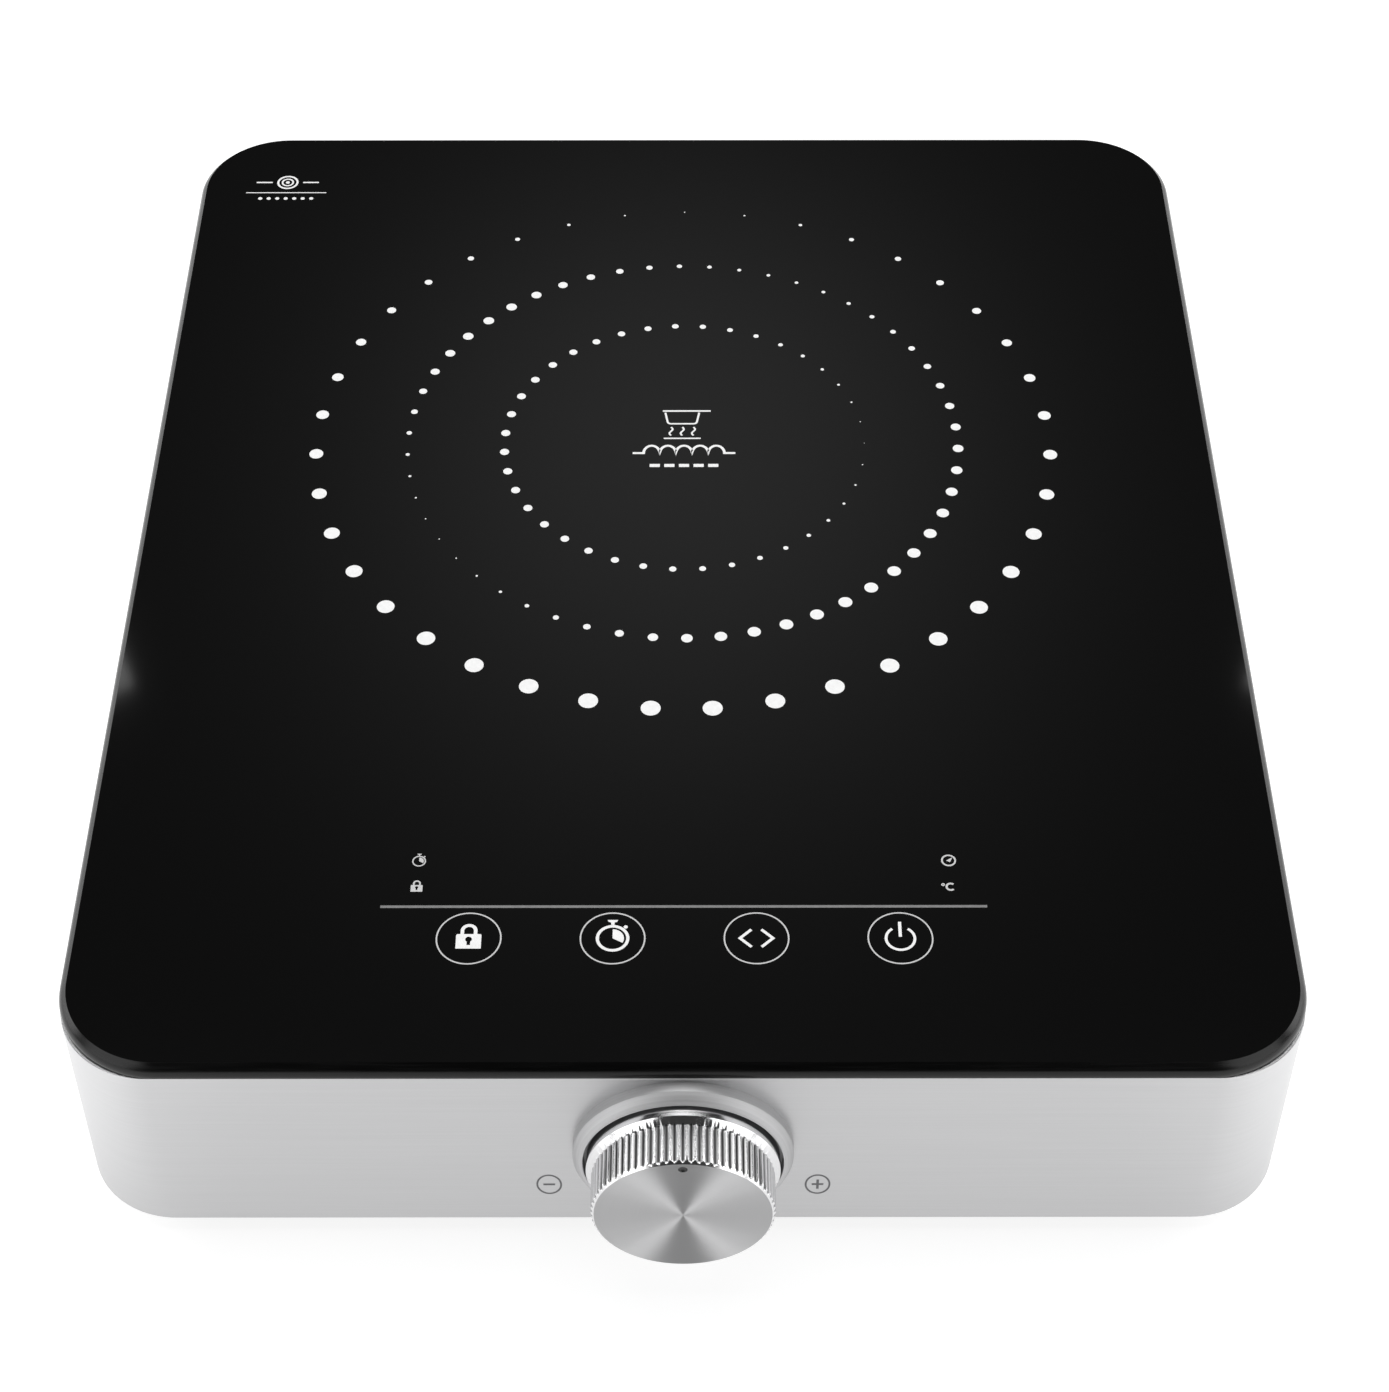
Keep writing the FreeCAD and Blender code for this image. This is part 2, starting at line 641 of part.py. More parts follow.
def under_sink(y, w, d):
    """A flat power package pressed to the heatsink's underside, with its three legs."""
    x = (sink_x0 + sink_x1) / 2
    case = box(x - w / 2, x + w / 2, y - d / 2, y + d / 2, board_top + 1.5, board_top + sink_gap)
    legs = [box(x + dx - 0.6, x + dx + 0.6, y - d / 2 - 3, y - d / 2, board_top, board_top + 4) for dx in (-5, 0, 5)]
    return joined(case, *legs)


def power_switch():
    return under_sink(sink_y0 + 24, 16, 20)


def bridge_rectifier():
    return under_sink(sink_y0 + 60, 28, 20)


def block(x, y, w, d, h, r=1.0):
    """Moulded box on the power board with its upright edges rounded."""
    body = box(x - w / 2, x + w / 2, y - d / 2, y + d / 2, board_top, board_top + h)
    return body.makeFillet(r, [e for e in body.Edges if e.BoundBox.ZLength > h - 0.1])


def resonant_capacitor():
    return block(-98, board_y0 + 42, 20, 40, 27)


def smoothing_capacitor():
    return block(-98, board_y0 + 88, 18, 38, 24)


def filter_capacitor():
    return block(-40, board_y1 - 22, 26, 12, 18)


def supply_transformer():
    """Small transformer: bobbin, core and winding as one moulded block on a foot."""
    x, y = -84, board_y1 - 46
    foot = box(x - 11, x + 11, y - 11, y + 11, board_top, board_top + 3)
    core = box(x - 9, x + 9, y - 12, y + 12, board_top + 3, board_top + 19)
    return joined(foot, core)


def filter_choke():
    """Ring core standing on edge in a moulded foot."""
    x, y = -40, board_y1 - 50
    foot = box(x - 13, x + 13, y - 7, y + 7, board_top, board_top + 3)
    ring = Part.makeTorus(9.5, 4.5, at(x, y, board_top + 16), at(0, 1, 0))
    return joined(foot, ring)


def mains_fuse():
    return group([rod_y(-112, board_top + 5, board_y1 - 62, board_y1 - 40, 3.0),
                  box(-114, -110, board_y1 - 60, board_y1 - 57, board_top, board_top + 1.9),
                  box(-114, -110, board_y1 - 45, board_y1 - 42, board_top, board_top + 1.9)])


def sounder():
    return rod(-112, board_y1 - 24, board_top, board_top + 8, 6.0).cut(
        rod(-112, board_y1 - 24, board_top + 7, board_top + 9, 1.0))


coil_lead_r = 1.5
coil_lead_z = 50.0
coil_terminal_xs = (-108.0, -92.0)
coil_terminal_y = board_y0 + 10.0


def lead_terminals():
    """Brass posts on the board: two for the coil and three for the mains."""
    posts = [(x, coil_terminal_y) for x in coil_terminal_xs]
    posts += [(x, board_y1 - 8) for x in (-96, -84, -72)]
    return group([joined(box(x - 4, x + 4, y - 4, y + 4, board_top, board_top + 2),
                         rod(x, y, board_top + 2, board_top + 8, 2.5)) for x, y in posts])


# ---- fan ----------------------------------------------------------------------------------------
def fan_corners():
    s = fan_size / 2 - 4.5
    return [(fan_x + sx * s, fan_y + sy * s) for sx in (-1, 1) for sy in (-1, 1)]


def fan_frame():
    """Square duct with four struts to the motor mount and its bearing tube."""
    s = fan_size / 2
    frame = box(fan_x - s, fan_x + s, fan_y - s, fan_y + s, fan_z, fan_z + fan_h)
    frame = frame.makeFillet(3.0, [e for e in frame.Edges if e.BoundBox.ZLength > fan_h - 0.1])
    frame = frame.cut(rod(fan_x, fan_y, fan_z - 1, fan_z + fan_h + 1, fan_duct_r))
    waist = tube(fan_x, fan_y, fan_z + 4, fan_z + fan_h - 4, 80.0, fan_duct_r + 2.0)
    frame = frame.cut(waist)
    struts = [turned(fan_x, fan_y, a, box(8, fan_duct_r + 1, -1.6, 1.6, fan_z, fan_z + 2.5)) for a in (0, 90, 180, 270)]
    mount = rod(fan_x, fan_y, fan_z, fan_z + 2.5, fan_hub_r)
    sleeve = rod(fan_x, fan_y, fan_z + 2.5, fan_z + 18, 4.0)
    frame = joined(frame, *struts, mount, sleeve)
    holes = [rod(x, y, fan_z - 1, fan_z + fan_h + 1, screw_r) for x, y in fan_corners()]
    return frame.cut(Part.makeCompound(holes)).cut(rod(fan_x, fan_y, fan_z + 1.0, fan_z + 19, 2.8))


def fan_bearing():
    return tube(fan_x, fan_y, fan_z + 2.0, fan_z + 17.0, 2.8, fan_shaft_r + fan_play)


def fan_stator():
    """Four wound poles pressed on the bearing tube."""
    core = tube(fan_x, fan_y, fan_z + 5, fan_z + 14, 6.5, 4.0)
    poles = [turned(fan_x, fan_y, a, box(5, 11, -2.5, 2.5, fan_z + 6, fan_z + 13)) for a in (0, 90, 180, 270)]
    return joined(core, *poles)


def fan_magnet():
    return tube(fan_x, fan_y, fan_z + 5, fan_z + 15, fan_hub_r - 1.6, fan_hub_r - 3.6)


def fan_rotor():
    """Hub with a closed top, its shaft, and pitched blades."""
    top = fan_z + 22.0
    hub = rod(fan_x, fan_y, fan_z + 4, top, fan_hub_r).cut(rod(fan_x, fan_y, fan_z + 3, top - 2.0, fan_hub_r - 1.6))
    shaft = rod(fan_x, fan_y, fan_z + 2.6, top - 1.0, fan_shaft_r)
    space = tube(fan_x, fan_y, fan_z + 3.2, fan_z + fan_h - 1.5, fan_tip_r, fan_hub_r - 0.8)
    blades = []
    for i in range(fan_blades):
        blade = box(fan_hub_r - 1.5, fan_tip_r + 2, -13, 13, -0.8, 0.8)
        blade.rotate(at(0, 0, 0), at(1, 0, 0), 38)
        blade.translate(at(0, 0, fan_z + fan_h / 2 + 0.8))
        blades.append(turned(fan_x, fan_y, 360.0 / fan_blades * i, blade).common(space))
    return joined(hub, shaft, *blades)


def fan_screws():
    return group([pan_screw(x, y, fan_z + fan_h, fan_h + 1.5, down=True) for x, y in fan_corners()])


# ---- wiring -------------------------------------------------------------------------------------
def coil_leads():
    """Two sleeved leads from the board's posts up to the former's rim."""
    leads = []
    reach = former_r + coil_lead_r + 0.2
    for x, angle in zip(coil_terminal_xs, (math.radians(215), math.radians(222))):
        end_x, end_y = reach * math.cos(angle), zone_y + reach * math.sin(angle)
        y = coil_terminal_y
        leads.append(wire_tube([(x, y, board_top + 8), (x, y, coil_lead_z - 1), (end_x, end_y, coil_lead_z),
                                (end_x, end_y, former_z + 3)], coil_lead_r))
    return group(leads)


def fan_lead():
    """Twin flex from the fan's corner over the tray floor to the power board."""
    x0 = fan_x - fan_size / 2
    y = fan_y + 20
    return wire_tube([(x0, y, fan_z + 2.0), (x0 - 12, y, fan_z + 2.0), (x0 - 20, y + 7, fan_z + 9.0),
                      (board_x1 - 5, y + 13, board_top + 9.0), (board_x1 - 5, y + 13, board_top)], 1.0)


def control_harness():
    """Sleeved harness from the encoder board's socket up to the control board."""
    y = front_y + band_t + encoder_t + board_t + 6.0
    z = knob_z - 10.8
    return wire_tube([(0, y, z), (0, y + 12, z), (8, y + 26, z + 7), (16, y + 33, z + 16), (16, y + 33, control_z)], 1.8)


def sensor_lead():
    """Thin pair from the sensor cup, under the shield, down to the power board."""
    y = zone_y
    return wire_tube([(0, y, glass_z - sensor_cap_top), (0, y, former_z - 10), (-8, y + 3, 36), (-15, y + 4, 26),
                      (-15, y + 4, board_top)], 0.8)


# ---- export -------------------------------------------------------------------------------------
PARTS = {
    "glass_plate": glass_plate, "glass_seal": glass_seal, "top_frame": top_frame, "shell_band": shell_band,
    "exhaust_grille": exhaust_grille, "base_tray": base_tray, "base_screws": base_screws,
    "cord_inlet_bush": cord_inlet_bush,
    "knob_cap": knob_cap, "knob_core": knob_core, "encoder_shaft": encoder_shaft, "knob_bezel": knob_bezel,
    "encoder_body": encoder_body, "encoder_washer": encoder_washer, "encoder_nut": encoder_nut,
    "encoder_board": encoder_board,
    "control_board": control_board, "control_carrier": control_carrier, "display_module": display_module,
    "indicator_lights": indicator_lights, "touch_springs": touch_springs, "control_chips": control_chips,
    "coil_winding": coil_winding, "coil_former": coil_former, "ferrite_bars": ferrite_bars,
    "coil_shield": coil_shield, "coil_spacers": coil_spacers, "coil_screws": coil_screws,
    "coil_insulation": coil_insulation, "sensor_cap": sensor_cap, "heat_sensor": heat_sensor,
    "power_board": power_board, "board_screws": board_screws, "heatsink": heatsink,
    "power_switch": power_switch, "bridge_rectifier": bridge_rectifier,
    "resonant_capacitor": resonant_capacitor, "smoothing_capacitor": smoothing_capacitor,
    "filter_capacitor": filter_capacitor, "supply_transformer": supply_transformer,
    "filter_choke": filter_choke, "mains_fuse": mains_fuse, "sounder": sounder,
    "lead_terminals": lead_terminals,
    "fan_frame": fan_frame, "fan_bearing": fan_bearing, "fan_stator": fan_stator, "fan_magnet": fan_magnet,
    "fan_rotor": fan_rotor, "fan_screws": fan_screws,
    "coil_leads": coil_leads, "fan_lead": fan_lead, "control_harness": control_harness,
    "sensor_lead": sensor_lead,
}

os.makedirs("parts", exist_ok=True)
shapes = {name: make() for name, make in PARTS.items()}
for side, x in zip(("left", "right"), foot_xs):
    for end, y in zip(("front", "back"), foot_ys):
        shapes[f"foot_{end}_{side}"] = rubber_foot(x, y)
for name, shape in shapes.items():
    shape.exportStep(f"parts/{name}.step")
    print(f"{name:22s} {len(shape.Solids):3d} solids {shape.Volume / 1000:9.2f} cm3 valid {shape.isValid()}")
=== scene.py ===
import bpy
import bmesh
import json
import math
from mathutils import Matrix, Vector


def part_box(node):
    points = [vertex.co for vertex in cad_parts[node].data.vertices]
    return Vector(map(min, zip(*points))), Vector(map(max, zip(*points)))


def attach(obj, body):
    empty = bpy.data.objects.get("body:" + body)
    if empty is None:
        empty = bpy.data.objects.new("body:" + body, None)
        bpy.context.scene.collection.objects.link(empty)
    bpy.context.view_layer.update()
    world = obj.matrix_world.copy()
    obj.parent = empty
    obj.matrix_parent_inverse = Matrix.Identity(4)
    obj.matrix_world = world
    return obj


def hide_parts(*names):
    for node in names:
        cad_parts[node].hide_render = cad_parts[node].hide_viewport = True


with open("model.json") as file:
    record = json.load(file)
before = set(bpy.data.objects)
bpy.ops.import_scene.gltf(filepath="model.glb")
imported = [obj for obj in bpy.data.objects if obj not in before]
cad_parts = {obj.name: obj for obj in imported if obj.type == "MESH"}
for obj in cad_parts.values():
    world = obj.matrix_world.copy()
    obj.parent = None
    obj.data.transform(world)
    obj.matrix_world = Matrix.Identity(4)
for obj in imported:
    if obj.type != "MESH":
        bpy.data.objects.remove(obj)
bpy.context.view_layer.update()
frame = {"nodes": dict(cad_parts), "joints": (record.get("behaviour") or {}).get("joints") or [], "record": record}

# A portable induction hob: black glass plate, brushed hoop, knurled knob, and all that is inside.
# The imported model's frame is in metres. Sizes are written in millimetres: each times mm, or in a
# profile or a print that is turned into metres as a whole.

nodes = frame["nodes"]
mm = 0.001
TURN = 2 * math.pi

# ---- places, from the frame ---------------------------------------------------------------------
glass_low, glass_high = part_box("glass_plate")
band_low, band_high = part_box("shell_band")
grille_low, grille_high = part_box("exhaust_grille")
joints = {j["name"]: j for j in frame["joints"]}
mounts = {m["name"]: m for m in frame["record"]["mounts"]}
plate_y = (glass_low.y + glass_high.y) / 2
front_y, back_y = glass_low.y, glass_high.y
glass_top = glass_high.z
knob_z = joints["knob_turn"]["pos_m"][2]
knob_reach = front_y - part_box("knob_cap")[0].y
zone_y = mounts["pan_rest"]["pos_m"][1]
inlet = Vector(mounts["cord_inlet"]["pos_m"])
inlet_bore = mounts["cord_inlet"]["dims"]["r_mm"]
key_y = sum(corner.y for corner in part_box("touch_springs")) / 2
spring_pitch = 34.15 * mm
window_x = grille_low.x + 4 * mm, grille_high.x - 4 * mm
window_z = grille_low.z + 3 * mm, grille_high.z - 3 * mm
corner_r, band_corner_r = 25 * mm, 22.5 * mm
corner_steps = 24
band_t = 1.2 * mm
ink_t, ink_gap = 0.04 * mm, 0.005 * mm  # an ink's film, and the hair of air under it
knob_tip, knob_root = 21.5, 20.95   # the knurl's ridges and the floors of its grooves, mm from the axis
knurl_teeth = 70


# ---- camera, light and floor --------------------------------------------------------------------
def make_camera():
    """A long lens in front of the hob, looking down on it and a hair off its middle."""
    aside, away, rise = 2.24 * mm, 577.8 * mm, 557.6 * mm
    down, swing = 47.09, -0.06
    camera = bpy.data.objects.new("camera", bpy.data.cameras.new("camera"))
    bpy.context.scene.collection.objects.link(camera)
    bpy.context.scene.camera = camera
    camera.data.lens = 77.53
    camera.data.clip_start, camera.data.clip_end = 0.01, 20.0
    camera.location = (aside, plate_y - away, glass_top + rise)
    camera.rotation_euler = (math.radians(90 - down), 0, math.radians(swing))


def area_light(name, place, aim, size, watts):
    """A flat lamp at place, turned towards aim."""
    lamp = bpy.data.lights.new(name, "AREA")
    lamp.shape = "RECTANGLE"
    lamp.size, lamp.size_y = size
    lamp.energy = watts
    light = bpy.data.objects.new(name, lamp)
    bpy.context.scene.collection.objects.link(light)
    light.location = place
    light.rotation_euler = (Vector(aim) - Vector(place)).to_track_quat("-Z", "Y").to_euler()


def make_studio():
    """Soft boxes overhead, in front, beside and behind, and a glowing table under the hob."""
    scene = bpy.context.scene
    scene.view_settings.view_transform = "Standard"
    scene.world = bpy.data.worlds.new("studio")
    scene.world.use_nodes = True
    background = scene.world.node_tree.nodes["Background"]
    background.inputs["Strength"].default_value = 0.04
    background.inputs["Color"].default_value = (1, 1, 1, 1)
    area_light("overhead", (0, 0.2, 1.5), (0, 0, 0), (1.3, 1.1), 15)
    for side in (-1, 1):
        area_light("front_box", (side * 0.92, -0.75, 0.5), (0, -0.15, 0.04), (0.9, 0.9), 5)
        area_light("side_box", (side * 1.2, 0.25, 0.42), (0, -0.1, 0.04), (0.9, 0.7), 6)
        area_light("back_box", (side * 0.68, 0.87, 0.86), (0, -0.17, 0.05), (0.5, 0.5), 1.7)
    mesh = bmesh.new()
    bmesh.ops.create_grid(mesh, x_segments=1, y_segments=1, size=6)
    floor = bpy.data.objects.new("floor", bpy.data.meshes.new("floor"))
    mesh.to_mesh(floor.data)
    bpy.context.scene.collection.objects.link(floor)
    floor.data.materials.append(light_table())


# ---- materials ----------------------------------------------------------------------------------
def linear(hex_colour):
    """RGBA in linear light from an sRGB hex value."""
    channels = [int(hex_colour[i:i + 2], 16) / 255 for i in (1, 3, 5)]
    return tuple(c / 12.92 if c <= 0.04045 else ((c + 0.055) / 1.055) ** 2.4 for c in channels) + (1.0,)


def add(tree, kind, links=None, inputs=None, **settings):
    """One node: links maps its sockets to sources, inputs sets other sockets, settings its properties."""
    node = tree.nodes.new(kind)
    for name, value in settings.items():
        setattr(node, name, value)
    for socket, value in (inputs or {}).items():
        node.inputs[socket].default_value = value
    for socket, source in (links or {}).items():
        tree.links.new(source, node.inputs[socket])
    return node


def finish_of(name, **shader):
    """A new material, its tree and its shader, with the constants set on the shader's own sockets."""
    material = bpy.data.materials.new(name)
    material.use_nodes = True
    bsdf = material.node_tree.nodes["Principled BSDF"]
    for socket, value in shader.items():
        bsdf.inputs[socket.replace("_", " ")].default_value = value
    return material, material.node_tree, bsdf


def mottle(tree, size_mm, stretch=(1, 1, 1), detail=4.0, rough=0.5):
    """A random factor whose blotches measure size_mm, times stretch along each axis."""
    place = add(tree, "ShaderNodeTexCoord")
    scale = tuple(1 / (size_mm * mm * s) for s in stretch)
    sized = add(tree, "ShaderNodeMapping", {"Vector": place.outputs["Object"]}, {"Scale": scale})
    noise = add(tree, "ShaderNodeTexNoise", {"Vector": sized.outputs["Vector"]},
                {"Scale": 1.0, "Detail": detail, "Roughness": rough})
    return noise.outputs["Fac"]


def shade(tree, bsdf, factor, colours, roughness=None, low=0.32, high=0.68):
    """Colours spread evenly over the factor's middle range, and roughness from its low to its high end."""
    ramp = add(tree, "ShaderNodeValToRGB", {"Fac": factor})
    stops = ramp.color_ramp.elements
    for _ in colours[2:]:
        stops.new(0.5)
    for i, (stop, colour) in enumerate(zip(stops, colours)):
        stop.position = low + (high - low) * i / (len(colours) - 1)
        stop.color = linear(colour)
    tree.links.new(ramp.outputs["Color"], bsdf.inputs["Base Color"])
    if roughness:
        spread = add(tree, "ShaderNodeMapRange", {"Value": factor},
                     {"From Min": low, "From Max": high, "To Min": roughness[0], "To Max": roughness[1]})
        tree.links.new(spread.outputs["Result"], bsdf.inputs["Roughness"])


def light_table():
    """Opal acrylic lit from below, brighter beyond the hob's sides: shadows on it all but vanish."""
    material, tree, bsdf = finish_of("opal_acrylic", Roughness=0.9, Specular_IOR_Level=0.1,
                                     Emission_Color=(1, 1, 1, 1))
    shade(tree, bsdf, mottle(tree, 300), ("#858585", "#8A8A8A"))
    place = add(tree, "ShaderNodeTexCoord")
    apart = add(tree, "ShaderNodeSeparateXYZ", {"Vector": place.outputs["Object"]})
    aside = add(tree, "ShaderNodeMath", {0: apart.outputs["X"]}, operation="ABSOLUTE")
    glow = add(tree, "ShaderNodeMapRange", {"Value": aside.outputs["Value"]},
               {"From Min": 110 * mm, "From Max": 200 * mm, "To Min": 0.84, "To Max": 1.25},
               interpolation_type="SMOOTHSTEP")
    tree.links.new(glow.outputs["Result"], bsdf.inputs["Emission Strength"])
    return material


def moulded(name, colours, roughness, grain_mm=0.6, depth_mm=0.03, **shader):
    """Plastic or rubber from a spark-eroded tool: an even grain that breaks up the highlight.

    The real grain is near 0.1 mm; it is drawn coarser so that it shows."""
    material, tree, bsdf = finish_of(name, **shader)
    shade(tree, bsdf, mottle(tree, 45), colours, roughness)
    bump = add(tree, "ShaderNodeBump", {"Height": mottle(tree, grain_mm, detail=2.0)},
               {"Strength": 0.5, "Distance": depth_mm * mm})
    tree.links.new(bump.outputs["Normal"], bsdf.inputs["Normal"])
    return material


def hairlined(name, colours, roughness, stretch, **shader):
    """Metal brushed in one direction: long level hairlines that vary in shade and in gloss.

    Real hairlines are near 0.1 mm apart; they are drawn coarser so that they show."""
    material, tree, bsdf = finish_of(name, Metallic=1.0, **shader)
    lines = mottle(tree, 0.4, stretch, detail=5.0, rough=0.6)
    shade(tree, bsdf, lines, colours, roughness)
    bump = add(tree, "ShaderNodeBump", {"Height": lines}, {"Strength": 0.3, "Distance": 0.004 * mm})
    tree.links.new(bump.outputs["Normal"], bsdf.inputs["Normal"])
    return material


def around_knob(tree):
    """Object coordinates measured from the knob's axis: separate X, Y and Z, and the distance."""
    place = add(tree, "ShaderNodeTexCoord")
    centred = add(tree, "ShaderNodeMapping", {"Vector": place.outputs["Object"]},
                  {"Location": (0, 0, -knob_z)})
    apart = add(tree, "ShaderNodeSeparateXYZ", {"Vector": centred.outputs["Vector"]})
    across = add(tree, "ShaderNodeCombineXYZ", {"X": apart.outputs["X"], "Z": apart.outputs["Z"]})
    distance = add(tree, "ShaderNodeVectorMath", {0: across.outputs["Vector"]}, operation="LENGTH")
    return apart, across, distance


def turned_metal(name, colours, roughness, ring_mm=0.3, painted_sheen_sectors=0.0, **shader):
    """Aluminium turned on a lathe: fine tool rings round the axis, which drag each highlight outwards.

    Real rings are near 0.1 mm apart; they are drawn coarser so that they show.
    The sectors setting is how much of the tone follows the direction from the axis: painted sheen in soft sectors,
    which stands in for the reflections of a spun face."""
    material, tree, bsdf = finish_of(name, Metallic=1.0, **shader)
    apart, across, distance = around_knob(tree)
    ring = add(tree, "ShaderNodeCombineXYZ", {"X": distance.outputs["Value"], "Y": apart.outputs["Y"]})
    marks = add(tree, "ShaderNodeTexNoise", {"Vector": ring.outputs["Vector"]},
                {"Scale": 1 / (ring_mm * mm), "Detail": 3.0})
    # Painted sheen: the tone changes with the direction from the axis, in soft lighter and darker sectors.
    direction = add(tree, "ShaderNodeVectorMath", {0: across.outputs["Vector"]}, operation="NORMALIZE")
    painted_sheen_streaks = add(tree, "ShaderNodeTexNoise", {"Vector": direction.outputs["Vector"]},
                  {"Scale": 1.7, "Detail": 2.0})
    tone = add(tree, "ShaderNodeMath", {0: painted_sheen_streaks.outputs["Fac"], 2: marks.outputs["Fac"]}, {1: painted_sheen_sectors},
               operation="MULTIPLY_ADD")
    shade(tree, bsdf, tone.outputs["Value"], colours, roughness, 0.32 + painted_sheen_sectors / 2, 0.68 + painted_sheen_sectors / 2)
    bump = add(tree, "ShaderNodeBump", {"Height": marks.outputs["Fac"]},
               {"Strength": 0.3, "Distance": 0.003 * mm})
    tree.links.new(bump.outputs["Normal"], bsdf.inputs["Normal"])
    in_world = add(tree, "ShaderNodeVectorTransform", {"Vector": across.outputs["Vector"]},
                   vector_type="VECTOR", convert_from="OBJECT", convert_to="WORLD")
    tree.links.new(in_world.outputs["Vector"], bsdf.inputs["Tangent"])
    return material


def knurled_metal():
    """Aluminium with grooves rolled along it; painted shade darkens the grooves and a painted highlight brightens
    the ridges.
    """
    material, tree, bsdf = finish_of("knurled_aluminium", Metallic=1.0)
    # Painted shade and highlight: the colour runs from dark at the groove floors to bright at the ridges.
    height = add(tree, "ShaderNodeMapRange", {"Value": around_knob(tree)[2].outputs["Value"]},
                 {"From Min": knob_root * mm, "From Max": knob_tip * mm})
    shade(tree, bsdf, height.outputs["Result"], ("#464646", "#BCBCBD", "#E2E2E3"), (0.34, 0.2), 0.05, 0.8)
    return material


def black_glass():
    """Glass-ceramic, rolled and polished, black by its own tint, with a painted sheen that is a little lighter
    round the coil: mirror gloss, darkest towards the edges."""
    painted_sheen_width, painted_sheen_length = 90 * mm, 130 * mm
    material, tree, bsdf = finish_of("black_glass_ceramic", Roughness=0.05, IOR=1.52)
    # Painted sheen: the colour is lightest round the cooking zone and falls off to darkest at the edges.
    place = add(tree, "ShaderNodeTexCoord")
    centred = add(tree, "ShaderNodeMapping", {"Vector": place.outputs["Object"]},
                  {"Location": (0, -zone_y / painted_sheen_length, 0), "Scale": (1 / painted_sheen_width, 1 / painted_sheen_length, 0)})
    square = add(tree, "ShaderNodeVectorMath",
                 {0: centred.outputs["Vector"], 1: centred.outputs["Vector"]}, operation="DOT_PRODUCT")
    fall = add(tree, "ShaderNodeMath", {1: square.outputs["Value"]}, {0: math.exp(-1)}, operation="POWER")
    shade(tree, bsdf, fall.outputs["Value"], ("#070707", "#252525"), low=0.0, high=1.0)
    return material


def buffed_edge():
    """The plate's rim, ground and then buffed along its length: black above, mirroring the table below.

    The buffing lines are far finer than 0.5 mm; they are drawn coarser so that they show."""
    material, tree, bsdf = finish_of("buffed_glass_edge", IOR=1.5, Specular_IOR_Level=0.3)
    shade(tree, bsdf, mottle(tree, 0.5, (40, 40, 1)), ("#010101", "#020202"), (0.22, 0.3))
    return material


def ceramic_ink(name, colours):
    """Ceramic ink, screen printed and fired: matt and opaque, with a slightly uneven film."""
    material, tree, bsdf = finish_of(name, Specular_IOR_Level=0.3)
    shade(tree, bsdf, mottle(tree, 1.2), colours, (0.5, 0.65))
    return material


def brushed_band():
    """Aluminium strip, brushed along its length and clear anodised: silky, with level hairlines."""
    return hairlined("brushed_anodised_aluminium", ("#BFBFC0", "#C4C4C5"), (0.36, 0.40), (120, 120, 1),
                     Anisotropic=0.3)


# ---- making pieces ------------------------------------------------------------------------------
def mesh_from(bm, name):
    """A plain mesh with merged doubles and outward faces."""
    bmesh.ops.remove_doubles(bm, verts=bm.verts, dist=1e-7)
    bmesh.ops.recalc_face_normals(bm, faces=bm.faces)
    mesh = bpy.data.meshes.new(name)
    bm.to_mesh(mesh)
    bm.free()
    return mesh


def finish_piece(name, mesh, materials, body="root", replaced=(), sharp=40):
    """Makes a piece of a mesh that is in its place: materials, shading, body, what it replaces."""
    for material in materials[len(mesh.materials):]:
        mesh.materials.append(material)
    mesh.polygons.foreach_set("use_smooth", [True] * len(mesh.polygons))
    mesh.set_sharp_from_angle(angle=math.radians(sharp))
    piece = bpy.data.objects.new(name, mesh)
    bpy.context.scene.collection.objects.link(piece)
    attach(piece, body)
    if replaced:
        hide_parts(*replaced)


def outline(inset, z, radius):
    """Points of the hob's rounded rectangle, inset from the glass's edge, at height z."""
    r = radius - inset
    w, d = glass_high.x - radius, (glass_high.y - glass_low.y) / 2 - radius
    points = []
    for x, y, start in ((w, d, 0), (-w, d, 90), (-w, -d, 180), (w, -d, 270)):
        for i in range(corner_steps + 1):
            a = math.radians(start + 90 * i / corner_steps)
            points.append(Vector((x + r * math.cos(a), plate_y + y + r * math.sin(a), z)))
    return points


def loft(sections, radius, closed=False):
    """Skin through (inset, z) sections of the hob's outline, capped at both ends or joined end to end."""
    bm = bmesh.new()
    loops = [[bm.verts.new(p) for p in outline(inset, z, radius)] for inset, z in sections]
    for a, b in zip(loops, loops[1:] + loops[:1] if closed else loops[1:]):
        for i in range(len(a)):
            j = (i + 1) % len(a)
            bm.faces.new((a[i], a[j], b[j], b[i]))
    if not closed:
        bm.faces.new(loops[0])
        bm.faces.new(loops[-1])
    return bm


def lathe(profile, place, steps=96):
    """Surface turned from a profile of (radius, height); place puts (radius, angle, height) in the frame."""
    bm = bmesh.new()
    rings = []
    for r, h in profile:
        count = steps if r > 1e-9 else 1
        rings.append([bm.verts.new(place(r, TURN * i / steps, h)) for i in range(count)])
    for a, b in zip(rings, rings[1:]):
        for i in range(steps):
            j = (i + 1) % steps
            corners = dict.fromkeys((a[i % len(a)], a[j % len(a)], b[j % len(b)], b[i % len(b)]))
            if len(corners) > 2:
                bm.faces.new(tuple(corners))
    return bm


def on_knob_axis(r, angle, out):
    """Place for a lathe on the knob's axis; heights are measured out of the hoop."""
    return Vector((r * math.sin(angle), front_y - out, knob_z + r * math.cos(angle)))


def on_inlet_axis(r, angle, out):
    """Place for a lathe on the cord bush's axis; heights are measured out of the hoop's back."""
    return Vector((inlet.x + r * math.sin(angle), back_y + out, inlet.z + r * math.cos(angle)))


def upright(x, y):
    """Place for a lathe on an upright axis; heights are the frame's own."""
    return lambda r, angle, z: Vector((x + r * math.cos(angle), y + r * math.sin(angle), z))


